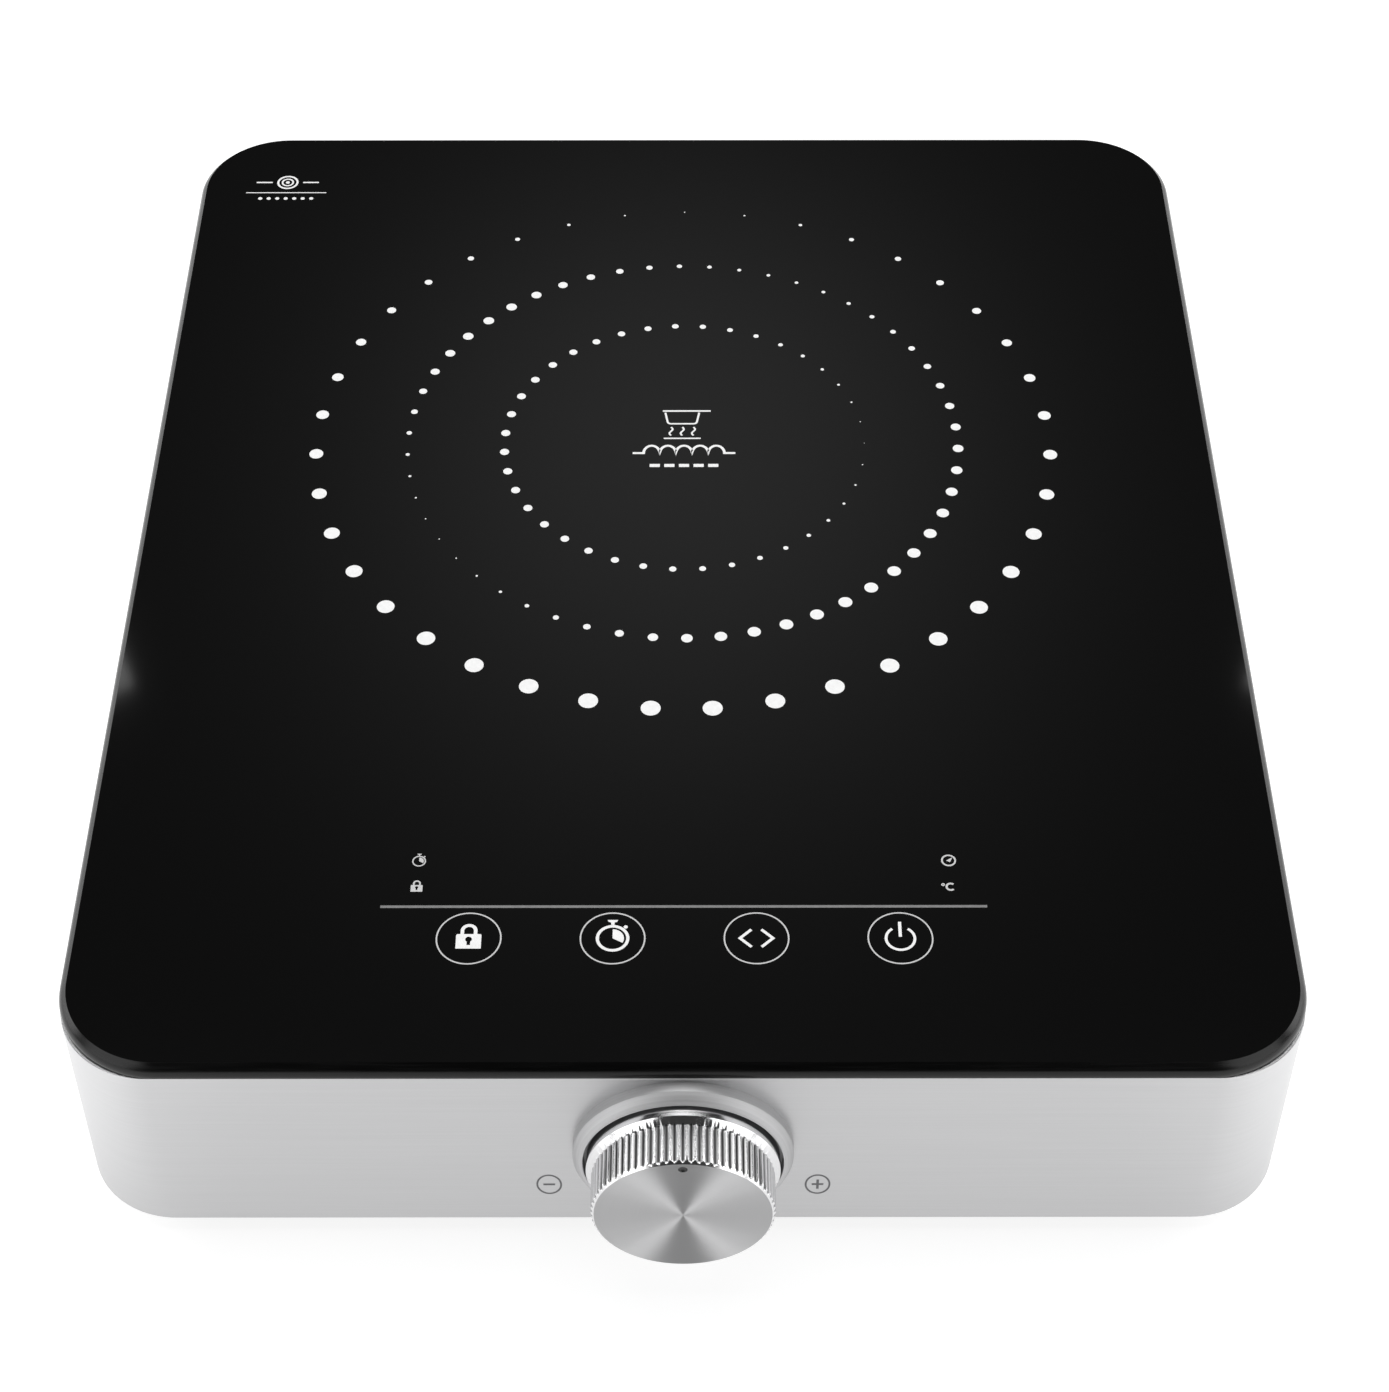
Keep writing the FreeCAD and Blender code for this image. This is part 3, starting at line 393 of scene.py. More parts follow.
def curve_of(centre, radius, start, stop, steps):
    """Points (r, h) on an arc of a profile; angles in degrees from the +r direction."""
    return [(centre[0] + radius * math.cos(math.radians(start + (stop - start) * i / steps)),
             centre[1] + radius * math.sin(math.radians(start + (stop - start) * i / steps)))
            for i in range(steps + 1)]


def in_mm(points):
    """Points given in millimetres, in metres."""
    return [tuple(v * mm for v in p) for p in points]


def block(low, high, bevel):
    """Box between two corners with rounded edges."""
    bm = bmesh.new()
    bmesh.ops.create_cube(bm, size=1.0)
    size = Vector(high) - Vector(low)
    bmesh.ops.scale(bm, vec=size, verts=bm.verts)
    bmesh.ops.translate(bm, vec=(Vector(low) + Vector(high)) / 2, verts=bm.verts)
    bmesh.ops.bevel(bm, geom=bm.edges[:], offset=bevel, segments=2, profile=0.5, affect="EDGES")
    return bm


def cut(mesh, cutters):
    """mesh with the cutters' meshes taken out of it."""
    body = bpy.data.objects.new("body", mesh)
    bpy.context.scene.collection.objects.link(body)
    made = [body]
    for tool_mesh in cutters:
        tool = bpy.data.objects.new("tool", tool_mesh)
        bpy.context.scene.collection.objects.link(tool)
        taken = body.modifiers.new("cut", "BOOLEAN")
        taken.object, taken.operation, taken.solver = tool, "DIFFERENCE", "EXACT"
        made.append(tool)
    result = bpy.data.meshes.new_from_object(body.evaluated_get(bpy.context.evaluated_depsgraph_get()))
    for extra in made:
        bpy.data.objects.remove(extra)
    return result


# ---- geometry trees -----------------------------------------------------------------------------
def geometry_tree(name, sockets):
    """An empty tree with a geometry input and output, and named inputs given as (name, kind)."""
    tree = bpy.data.node_groups.new(name, "GeometryNodeTree")
    tree.interface.new_socket("Geometry", in_out="INPUT", socket_type="NodeSocketGeometry")
    for label, kind in sockets:
        tree.interface.new_socket(label, in_out="INPUT", socket_type="NodeSocket" + kind)
    tree.interface.new_socket("Geometry", in_out="OUTPUT", socket_type="NodeSocketGeometry")
    return tree, add(tree, "NodeGroupInput").outputs


def close_tree(tree, geometry, material):
    """Ends a tree in Realize Instances and Set Material."""
    real = add(tree, "GeometryNodeRealizeInstances", {"Geometry": geometry})
    painted = add(tree, "GeometryNodeSetMaterial",
                  {"Geometry": real.outputs["Geometry"], "Material": material})
    add(tree, "NodeGroupOutput", {"Geometry": painted.outputs["Geometry"]})
    return tree


def grown(mesh, tree, **values):
    """mesh run through a geometry tree, as a plain mesh."""
    seed = bpy.data.objects.new("seed", mesh)
    bpy.context.scene.collection.objects.link(seed)
    growth = seed.modifiers.new("growth", "NODES")
    growth.node_group = tree
    for item in tree.interface.items_tree:
        if item.in_out == "INPUT" and item.name in values:
            growth[item.identifier] = values[item.name]
    result = bpy.data.meshes.new_from_object(seed.evaluated_get(bpy.context.evaluated_depsgraph_get()))
    bpy.data.objects.remove(seed)
    return result


def dots_tree():
    """A thin round dot on every point, as wide as the point's dot_radius."""
    tree, given = geometry_tree("printed_dots", [("Sides", "Int"), ("Ink thickness", "Float"),
                                                 ("Ink", "Material")])
    dot = add(tree, "GeometryNodeMeshCylinder",
              {"Vertices": given["Sides"], "Depth": given["Ink thickness"]}, {"Radius": 1.0})
    wide = add(tree, "GeometryNodeInputNamedAttribute", inputs={"Name": "dot_radius"}, data_type="FLOAT")
    size = add(tree, "ShaderNodeCombineXYZ",
               {"X": wide.outputs["Attribute"], "Y": wide.outputs["Attribute"]}, {"Z": 1.0})
    dots = add(tree, "GeometryNodeInstanceOnPoints",
               {"Points": given["Geometry"], "Instance": dot.outputs["Mesh"],
                "Scale": size.outputs["Vector"]})
    return close_tree(tree, dots.outputs["Instances"], given["Ink"])


def copies_tree():
    """The item object on every point of the input."""
    tree, given = geometry_tree("copies", [("Item", "Object"), ("Finish", "Material")])
    item = add(tree, "GeometryNodeObjectInfo", {"Object": given["Item"]})
    copies = add(tree, "GeometryNodeInstanceOnPoints",
                 {"Points": given["Geometry"], "Instance": item.outputs["Geometry"]})
    return close_tree(tree, copies.outputs["Instances"], given["Finish"])


def knurl_tree():
    """Cuts rounded grooves along the knob into every point that lies outside their roots."""
    tree, given = geometry_tree("knurl", [("Teeth", "Float"), ("Root radius", "Float"), ("Depth", "Float"),
                                          ("Flank share", "Float"), ("Start", "Float"),
                                          ("Axis height", "Float"), ("Finish", "Material")])
    place = add(tree, "GeometryNodeInputPosition")
    axis = add(tree, "ShaderNodeCombineXYZ", {"Z": given["Axis height"]})
    from_axis = add(tree, "ShaderNodeVectorMath", {0: place.outputs["Position"], 1: axis.outputs["Vector"]},
                    operation="SUBTRACT")
    outward = add(tree, "ShaderNodeVectorMath", {0: from_axis.outputs["Vector"]}, {1: (1, 0, 1)},
                  operation="MULTIPLY")
    radius = add(tree, "ShaderNodeVectorMath", {0: outward.outputs["Vector"]}, operation="LENGTH")
    apart = add(tree, "ShaderNodeSeparateXYZ", {"Vector": from_axis.outputs["Vector"]})
    angle = add(tree, "ShaderNodeMath", {0: apart.outputs["X"], 1: apart.outputs["Z"]}, operation="ARCTAN2")
    turns = add(tree, "ShaderNodeMath", {0: angle.outputs["Value"]}, {1: TURN}, operation="DIVIDE")
    teeth = add(tree, "ShaderNodeMath", {0: turns.outputs["Value"], 1: given["Teeth"]}, operation="MULTIPLY")
    doubled = add(tree, "ShaderNodeMath", {0: teeth.outputs["Value"]}, {1: 0.5}, operation="PINGPONG")
    flank = add(tree, "ShaderNodeMapRange",
                {"Value": doubled.outputs["Value"], "From Max": given["Flank share"]},
                {"From Min": 0.0, "To Min": 0.0, "To Max": 1.0}, interpolation_type="SMOOTHSTEP")
    ridge = add(tree, "ShaderNodeMath",
                {0: flank.outputs["Result"], 1: given["Depth"], 2: given["Root radius"]},
                operation="MULTIPLY_ADD")
    held = add(tree, "ShaderNodeMath", {0: radius.outputs["Value"], 1: ridge.outputs["Value"]},
               operation="MINIMUM")
    ratio = add(tree, "ShaderNodeMath", {0: held.outputs["Value"], 1: radius.outputs["Value"]},
                operation="DIVIDE")
    inward = add(tree, "ShaderNodeMath", {0: ratio.outputs["Value"]}, {1: 1.0}, operation="SUBTRACT")
    shift = add(tree, "ShaderNodeVectorMath",
                {0: outward.outputs["Vector"], "Scale": inward.outputs["Value"]}, operation="SCALE")
    before = add(tree, "ShaderNodeMath", {0: apart.outputs["Y"], 1: given["Start"]}, operation="LESS_THAN")
    moved = add(tree, "GeometryNodeSetPosition",
                {"Geometry": given["Geometry"], "Selection": before.outputs["Value"],
                 "Offset": shift.outputs["Vector"]})
    return close_tree(tree, moved.outputs["Geometry"], given["Finish"])


def wound_tree():
    """Round wire wound into a spiral or a helix, standing on every point of the input."""
    tree, given = geometry_tree("wound_wire", [("Turns", "Float"), ("Inner radius", "Float"),
                                               ("Outer radius", "Float"), ("Rise", "Float"),
                                               ("Wire radius", "Float"), ("Steps per turn", "Int"),
                                               ("Finish", "Material")])
    path = add(tree, "GeometryNodeCurveSpiral",
               {"Resolution": given["Steps per turn"], "Rotations": given["Turns"], "Height": given["Rise"],
                "Start Radius": given["Inner radius"], "End Radius": given["Outer radius"]})
    section = add(tree, "GeometryNodeCurvePrimitiveCircle", {"Radius": given["Wire radius"]},
                  {"Resolution": 10})
    wire = add(tree, "GeometryNodeCurveToMesh",
               {"Curve": path.outputs["Curve"], "Profile Curve": section.outputs["Curve"]},
               {"Fill Caps": True})
    coils = add(tree, "GeometryNodeInstanceOnPoints",
                {"Points": given["Geometry"], "Instance": wire.outputs["Mesh"]})
    return close_tree(tree, coils.outputs["Instances"], given["Finish"])


def points_mesh(points, radii=None):
    """Loose points to grow things on, with each point's dot_radius if radii are given."""
    mesh = bpy.data.meshes.new("points")
    mesh.from_pydata([tuple(p) for p in points], [], [])
    if radii:
        mesh.attributes.new("dot_radius", "FLOAT", "POINT").data.foreach_set("value", radii)
    return mesh


# ---- casing -------------------------------------------------------------------------------------
def make_glass(polished, buffed):
    """Plate whose crowned rim, buffed and not polished, stands a little proud between two flat faces."""
    crown, level, proud = 3.4, -3.25, 0.35
    thick = (glass_top - glass_low.z) / mm
    rim = [(crown * (1 - math.cos(math.radians(a))) - proud, level + crown * math.sin(math.radians(a)))
           for a in range(50, -11, -6)]
    sections = [(2.5, 0), (rim[0][0] + 0.7, 0)] + rim + [(2.0, -thick)]
    bm = loft([(inset * mm, glass_top + z * mm) for inset, z in sections], corner_r)
    mesh = mesh_from(bm, "glass_top")
    for face in mesh.polygons:
        if glass_low.z + 0.1 * mm < face.center.z < glass_top - 0.1 * mm:
            face.material_index = 1
    finish_piece("glass_top", mesh, [polished, buffed], replaced=["glass_plate"])


def make_band(brushed):
    """Hoop of sheet with rounded edges, cut out for the knob, the outlet and the cord bush."""
    low, high, r = band_low.z, band_high.z, 0.35 * mm
    eased = r * 0.29
    sections = [(band_t, low), (r, low), (eased, low + eased), (0, low + r), (0, low + 2 * r),
                (0, high - 2 * r), (0, high - r), (eased, high - eased), (r, high), (band_t, high)]
    mesh = mesh_from(loft(sections, band_corner_r, closed=True), "band")
    deep = 3
    window = block((window_x[0], back_y - deep * mm, window_z[0]),
                   (window_x[1], back_y + deep * mm, window_z[1]), 0.6 * mm)
    holes = [lathe(in_mm([(0, -deep), (radius, -deep), (radius, deep), (0, deep)]), place, 48)
             for radius, place in ((7, on_inlet_axis), (4.8, on_knob_axis))]
    mesh = cut(mesh, [mesh_from(tool, "tool") for tool in [window] + holes])
    finish_piece("band", mesh, [brushed], replaced=["shell_band"])


def make_grille(plastic):
    """Outlet at the back: a rounded frame in the hoop's window, with a row of upright slats."""
    (x0, x1), (z0, z1) = window_x, window_z
    border, gaps = 3.5 * mm, 19
    inner_y = back_y - band_t - 2 * mm
    bars = [((x0, inner_y, z0), (x1, back_y, z0 + border)), ((x0, inner_y, z1 - border), (x1, back_y, z1)),
            ((x0, inner_y, z0 + border), (x0 + border, back_y, z1 - border)),
            ((x1 - border, inner_y, z0 + border), (x1, back_y, z1 - border))]
    bm = bmesh.new()
    for low, high in bars:
        bm.from_mesh(mesh_from(block(low, high, 0.35 * mm), "bar"))
    half_slat, sunk, lap = 1.3 * mm, 0.5 * mm, 0.3 * mm
    slat = block((-half_slat, inner_y, z0 + border - lap),
                 (half_slat, back_y - sunk, z1 - border + lap), 0.5 * mm)
    item = bpy.data.objects.new("slat", mesh_from(slat, "slat"))
    pitch = (x1 - x0 - 2 * border) / gaps
    centres = [((x0 + x1) / 2 + (i - (gaps - 2) / 2) * pitch, 0, 0) for i in range(gaps - 1)]
    bm.from_mesh(grown(points_mesh(centres), copies_tree(), Item=item, Finish=plastic))
    mesh = bpy.data.meshes.new("outlet_grille")
    bm.to_mesh(mesh)
    bm.free()
    finish_piece("outlet_grille", mesh, [plastic], replaced=["exhaust_grille"])


def make_bush(rubber):
    """Moulded bush: rounded flange outside, collar inside, open bore."""
    collar = [(inlet_bore, -9.2), (8.5, -9.2), (8.5, -1.2), (7.0, -1.2), (7.0, 0.0)]
    flange = [(10.2, 0.0), (10.5, 0.3)] + curve_of((9.2, 1.2), 1.3, 0, 90, 6)
    groove = [(6.4, 2.5), (6.0, 2.1), (5.6, 2.5)]
    mouth = curve_of((inlet_bore + 0.8, 1.7), 0.8, 90, 180, 5)
    profile = collar + flange + groove + mouth + collar[:1]
    mesh = mesh_from(lathe(in_mm(profile), on_inlet_axis), "cord_bush")
    finish_piece("cord_bush", mesh, [rubber], replaced=["cord_inlet_bush"])


def make_feet(rubber):
    """Rubber feet with a bevelled tread, and a dimple and a ring pressed into the sole."""
    for node in ("foot_front_left", "foot_front_right", "foot_back_left", "foot_back_right"):
        low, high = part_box(node)
        place = upright((low.x + high.x) / 2, (low.y + high.y) / 2)
        sole = [(0, 0.5), (2.2, 0.5), (2.6, 0.0), (5.0, 0.0), (5.4, 0.5), (6.2, 0.5), (6.6, 0.0), (8.8, 0.0)]
        side = [(9.6, 0.35), (9.9, 1.1), (10.0, 7.1), (9.7, 7.3), (3.0, 7.3), (3.0, 9.0), (4.4, 9.0),
                (2.4, 12.0), (0, 12.0)]
        mesh = mesh_from(lathe(in_mm(sole + side), place, 64), node)
        finish_piece("rubber_" + node, mesh, [rubber], replaced=[node])


def make_base_screws(steel):
    """Pan-head screws with a cross recess, heads down in the tray's bosses."""
    low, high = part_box("base_screws")
    head_r, head_t, shank_r = 2.9, 2.2, 1.5
    head = [(0, 0), (1.4, 0.08), (2.2, 0.4), (2.7, 1.0), (head_r, 1.7), (head_r, head_t), (shank_r, head_t)]
    shank = [(shank_r, 18.2), (1.1, 19.2), (0, 19.2)]
    screw = mesh_from(lathe(in_mm(head + shank), upright(0, 0), 40), "screw")
    arms = [mesh_from(block(*in_mm([(-a, -b, -1), (a, b, 1.2)]), 0.1 * mm), "arm")
            for a, b in ((1.7, 0.42), (0.42, 1.7))]
    item = bpy.data.objects.new("screw", cut(screw, arms))
    xs = (low.x + head_r * mm, high.x - head_r * mm)
    ys = (low.y + head_r * mm, (low.y + high.y) / 2, high.y - head_r * mm)
    places = points_mesh([(x, y, low.z) for x in xs for y in ys])
    mesh = grown(places, copies_tree(), Item=item, Finish=steel)
    finish_piece("tray_screws", mesh, [steel], replaced=["base_screws"])


def make_label(film):
    """Plain foil label under the hob, with nothing printed on it."""
    under, foil_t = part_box("base_tray")[0].z, 0.12 * mm
    front_left = (-95 * mm, plate_y - 118 * mm, under - foil_t)
    bm = block(front_left, (-35 * mm, plate_y - 80 * mm, under), 0.03 * mm)
    finish_piece("blank_label", mesh_from(bm, "blank_label"), [film])


# ---- inside -------------------------------------------------------------------------------------
def make_windings(copper, steel, tree):
    """The coil's two flat spirals, and the sprung contact under each touch key."""
    low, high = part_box("coil_winding")
    wire = (high.z - low.z) / 2
    centre = ((low.x + high.x) / 2, (low.y + high.y) / 2, (low.z + high.z) / 2)
    outer, pitch = (high.x - low.x) / 2 - wire, 3.5 * mm
    coils = bmesh.new()
    for turns, inner in ((6, outer - 60.4 * mm), (8, outer - 28 * mm)):
        coils.from_mesh(grown(points_mesh([centre]), tree, Turns=float(turns), Rise=0.0, Finish=copper,
                              **{"Inner radius": inner, "Outer radius": inner + turns * pitch,
                                 "Wire radius": wire, "Steps per turn": 72}))
    mesh = bpy.data.meshes.new("litz_spirals")
    coils.to_mesh(mesh)
    coils.free()
    finish_piece("litz_spirals", mesh, [copper], replaced=["coil_winding"])
    low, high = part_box("touch_springs")
    thin = 0.3 * mm
    radius = (high.y - low.y) / 2 - thin
    feet = [((i - 1.5) * spring_pitch, key_y, low.z + thin) for i in range(4)]
    springs = grown(points_mesh(feet), tree, Turns=6.0, Rise=high.z - low.z - 2 * thin, Finish=steel,
                    **{"Inner radius": radius, "Outer radius": radius, "Wire radius": thin,
                       "Steps per turn": 28})
    finish_piece("key_springs", springs, [steel], replaced=["touch_springs"])


# ---- knob ---------------------------------------------------------------------------------------
def make_knob(metal, spun, knurled, paint):
    """Cap with a bevelled skirt, a knurled grip, a spun face and a sunk, blackened pointer dot."""
    reach, wall_r, base = knob_reach / mm, 18.2, 3.5
    grip_start, chamfer = 8.6, 0.8
    grip_end = reach - chamfer
    skirt = [(wall_r, base), (22.3, base), (22.6, 3.6), (22.8, 3.9), (22.8, 6.6), (22.8, 7.1), (22.65, 7.3)]
    neck = [(21.6, 8.4), (knob_tip, grip_start)]
    grip = [(knob_tip, grip_start + (grip_end - grip_start) * i / 8) for i in range(1, 9)]
    bevel = [(knob_tip - chamfer * i / 6, grip_end + chamfer * i / 6) for i in range(1, 7)]
    face = [(20.3, reach), (12.0, reach), (4.0, reach), (0, reach)]
    hollow = [(0, reach - 1.5), (wall_r, reach - 1.5), (wall_r, base)]
    bm = lathe(in_mm(skirt + neck + grip + bevel + face + hollow), on_knob_axis, knurl_teeth * 12)
    mesh = grown(mesh_from(bm, "knob"), knurl_tree(), Teeth=float(knurl_teeth), Finish=metal,
                 Depth=(knob_tip - knob_root) * mm,
                 **{"Root radius": knob_root * mm, "Flank share": 0.5, "Axis height": knob_z,
                    "Start": front_y - (grip_start - 0.05) * mm})
    dot_z, dot_r, dot_floor = knob_z + 18.6 * mm, 1.1, reach - 0.7

    def on_dot_axis(r, angle, out):
        return Vector((r * math.sin(angle), front_y - out, dot_z + r * math.cos(angle)))

    hole = [(0, dot_floor), (dot_r, dot_floor), (dot_r, reach + 1), (0, reach + 1)]
    mesh = cut(mesh, [mesh_from(lathe(in_mm(hole), on_dot_axis, 32), "tool")])
    for polygon in mesh.polygons:
        out = (front_y - polygon.center.y) / mm
        polygon.material_index = 1 if out > reach - 0.01 else 2 if grip_start < out < grip_end else 0
    finish_piece("knob", mesh, [metal, spun, knurled], body="knob",
                 replaced=["knob_cap"], sharp=25)
    fill_r, fill_low = dot_r - 0.01, dot_floor + 0.01
    fill = [(0, fill_low), (fill_r, fill_low), (fill_r, reach - 0.2), (0.95, reach - 0.35), (0, reach - 0.4)]
    mesh = mesh_from(lathe(in_mm(fill), on_dot_axis, 32), "pointer_dot")
    finish_piece("pointer_dot", mesh, [paint], body="knob")


def make_bezel(metal):
    """Trim ring: straight side, shoulder turned in narrow flats, and a well round the knob's shaft."""
    shaft_r, outer_r, well_r, floor_t = 4.7, 26.0, 23.6, 1.5
    shoulder = [(25.45, 3.55), (25.0, 4.1), (24.55, 4.5), (24.15, 4.76), (23.85, 4.92), (23.68, 5.0)]
    side = [(shaft_r, 0), (outer_r, 0), (outer_r, 2.6)]
    well = [(well_r, 4.9), (well_r, floor_t), (shaft_r, floor_t)]
    bm = lathe(in_mm(side + shoulder + well + side[:1]), on_knob_axis, 160)
    finish_piece("bezel", mesh_from(bm, "bezel"), [metal], replaced=["knob_bezel"],
                 sharp=25)


# ---- printing on the glass and the hoop ---------------------------------------------------------
# Places are in mm: on the glass from the plate's middle, on the hoop from its middle and the glass's top.
def arc(centre, radius, start, stop, steps):
    """Points on an arc in mm; degrees counted clockwise from straight up."""
    sweep = [math.radians(start + (stop - start) * i / steps) for i in range(steps + 1)]
    return [(centre[0] + radius * math.sin(a), centre[1] + radius * math.cos(a)) for a in sweep]


def loop(centre, radius, steps):
    """Points once round a circle, for a closed stroke or a filled disc."""
    return arc(centre, radius, 0, 360, steps)[:-1]


def stroke(sheet, points, width, closed=False):
    """A line of even width through points in mm, with mitred corners."""
    count = len(points)
    sides = []
    for i, p in enumerate(points):
        before = points[i - 1] if i or closed else None
        after = points[(i + 1) % count] if i < count - 1 or closed else None
        runs = [Vector(b) - Vector(a) for a, b in ((before, p), (p, after)) if a and b]
        normals = [Vector((-r.y, r.x)).normalized() for r in runs]
        mitre = (normals[0] + normals[-1]).normalized()
        reach = width / 2 / max(0.35, mitre.dot(normals[0]))
        sides.append([sheet.verts.new((*(Vector(p) + mitre * s), 0)) for s in (reach, -reach)])
    for a, b in zip(sides, sides[1:] + sides[:1] if closed else sides[1:]):
        sheet.faces.new((a[0], a[1], b[1], b[0]))


def filled(sheet, *outlines):
    """A flat area inside the first outline and outside the others."""
    edges = []
    for points in outlines:
        verts = [sheet.verts.new((*p, 0)) for p in points]
        edges += [sheet.edges.new((a, b)) for a, b in zip(verts, verts[1:] + verts[:1])]
    bmesh.ops.triangle_fill(sheet, edges=edges, use_beauty=True, use_dissolve=False)


def print_on(name, sheet, ink, place):
    """The flat sheet given its ink's thickness, and put in the frame by place(x, y, height) in mm."""
    bmesh.ops.remove_doubles(sheet, verts=sheet.verts, dist=1e-5)
    bmesh.ops.recalc_face_normals(sheet, faces=sheet.faces)
    for face in sheet.faces:
        if face.normal.z < 0:
            face.normal_flip()
    made = bmesh.ops.extrude_face_region(sheet, geom=sheet.faces[:], use_keep_orig=True)
    for vert in made["geom"]:
        if isinstance(vert, bmesh.types.BMVert):
            vert.co.z = 1.0
    for vert in sheet.verts:
        vert.co = place(vert.co.x, vert.co.y, vert.co.z)
    finish_piece(name, mesh_from(sheet, name), [ink])


def on_glass(x, y, height):
    return Vector((x * mm, plate_y + y * mm, glass_top + ink_gap + height * ink_t))


def on_band(x, z, height):
    return Vector((x * mm, front_y - ink_gap - height * ink_t, glass_top + z * mm))


def shifted(points, centre, scale=1.0):
    """A sign's points, scaled about its own middle and moved to centre."""
    return [(centre[0] + x * scale, centre[1] + y * scale) for x, y in points]


def padlock(sheet, centre, scale):
    """Body with a keyhole, and a shackle above it."""
    body = [(-3.15, -3.2), (3.15, -3.2), (3.15, 1.0), (2.9, 1.35), (-2.9, 1.35), (-3.15, 1.0)]
    keyhole = arc((0, -0.3), 0.85, 150, -150, 16) + [(-0.45, -2.1), (0.45, -2.1)]
    filled(sheet, shifted(body, centre, scale), shifted(keyhole, centre, scale))
    shackle = [(-1.65, 1.36)] + arc((0, 2.45), 1.65, -90, 90, 16) + [(1.65, 1.36)]
    stroke(sheet, shifted(shackle, centre, scale), 0.9 * scale)


def stopwatch(sheet, centre, scale=1.0):
    """Ring with a crown, a side button and a filled third."""
    stroke(sheet, shifted(loop((0, 0), 3.6, 48), centre, scale), 0.75 * scale, closed=True)
    filled(sheet, shifted([(0, 0)] + arc((0, 0), 2.7, 0, 120, 16), centre, scale))
    filled(sheet, shifted([(-1.25, 5.5), (1.25, 5.5), (1.0, 4.95), (0.4, 4.75), (0.4, 4.05), (-0.4, 4.05),
                           (-0.4, 4.75), (-1.0, 4.95)], centre, scale))
    filled(sheet, shifted(loop((3.05, 3.4), 0.5, 12), centre, scale))


def chevrons(sheet, centre):
    """Two arrowheads that point away from each other."""
    for side in (-1, 1):
        stroke(sheet, shifted([(side * 1.2, 2.6), (side * 3.9, 0), (side * 1.2, -2.6)], centre), 0.7)


def power_sign(sheet, centre):
    """Open ring with an upright stroke in its gap."""
    stroke(sheet, shifted(arc((0, -0.1), 3.4, 33, 327, 40), centre), 0.66)
    stroke(sheet, shifted([(0, 4.9), (0, 0.4)], centre), 0.75)


def gauge_sign(sheet, centre):
    """Ring with a pointer."""
    stroke(sheet, shifted(loop((0, 0), 1.6, 32), centre), 0.42, closed=True)
    filled(sheet, shifted([(0.95, 0.95), (0.35, -0.55), (-0.6, -0.05)], centre))


def degree_sign(sheet, centre):
    """The unit sign for degrees Celsius."""
    stroke(sheet, shifted(loop((-1.25, 0.65), 0.3, 12), centre), 0.3, closed=True)
    stroke(sheet, shifted(arc((0.55, 0), 1.0, 138, 402, 20), centre), 0.5)


def make_key_prints(sign_ink, ring_ink, line_ink):
    """Four ringed key signs in front of the separator line, and four small signs behind it."""
    row, pitch, aside = (key_y - plate_y) / mm + 0.6, 34.0, 0.35
    centres = [(aside + (i - 1.5) * pitch, row) for i in range(4)]
    line_y = -128.0
    line = bmesh.new()
    stroke(line, [(-72.2, line_y), (72.5, line_y)], 0.75)
    print_on("separator_line", line, line_ink, on_glass)
    rings = bmesh.new()
    for centre in centres:
        stroke(rings, loop(centre, 7.6, 96), 0.36, closed=True)
    print_on("key_rings", rings, ring_ink, on_glass)
    signs = bmesh.new()
    padlock(signs, centres[0], 0.95)
    stopwatch(signs, centres[1])
    chevrons(signs, centres[2])
    power_sign(signs, centres[3])
    print_on("key_signs", signs, sign_ink, on_glass)
    small = bmesh.new()
    stopwatch(small, (-63.8, -113.9), 0.42)
    padlock(small, (-63.9, -121.95), 0.45)
    gauge_sign(small, (64.1, -113.8))
    degree_sign(small, (63.6, -122.0))
    print_on("small_signs", small, ring_ink, on_glass)


def make_centre_prints(ink):
    """A pan over its field, a coil sign and a row of dashes in the middle of the cooking zone."""
    sheet = bmesh.new()
    pan_base, pan_top, lid_y, field_y = 44.6, 48.2, 48.9, 37.6
    pan = [(-5.2, pan_top), (-4.6, pan_base)] + arc((-3.6, pan_base), 1.0, 270, 180, 5)[1:]
    pan += arc((2.6, pan_base), 1.0, 180, 90, 5) + [(4.2, pan_top)]
    stroke(sheet, pan, 0.55)
    stroke(sheet, [(-5.9, lid_y), (7.4, lid_y)], 0.6)
    for i in range(3):
        wave = [(-3.6 + 3.1 * i + 0.45 * math.sin(TURN * t / 12), 42.2 - 3.4 * t / 12) for t in range(13)]
        stroke(sheet, wave, 0.5)
    stroke(sheet, [(-5.6, field_y), (4.6, field_y)], 0.5)
    coil_y, coil_end, lead_end, turn_w, turn_h = 31.6, 11.1, 14.1, 4.44, 3.0
    coil = [(-lead_end, coil_y), (-coil_end, coil_y)]
    for i in range(5):
        coil += [(-coil_end + turn_w * (i + 0.5 + math.sin(a) / 2), coil_y + turn_h * math.cos(a))
                 for a in (math.radians(-90 + 15 * k) for k in range(1, 13))]
    stroke(sheet, coil + [(lead_end, coil_y)], 0.75)
    dash_y, dash_pitch = 26.6, 4.0
    for i in range(5):
        stroke(sheet, [(-9.4 + dash_pitch * i, dash_y), (-6.6 + dash_pitch * i, dash_y)], 1.2)
    print_on("centre_signs", sheet, ink, on_glass)


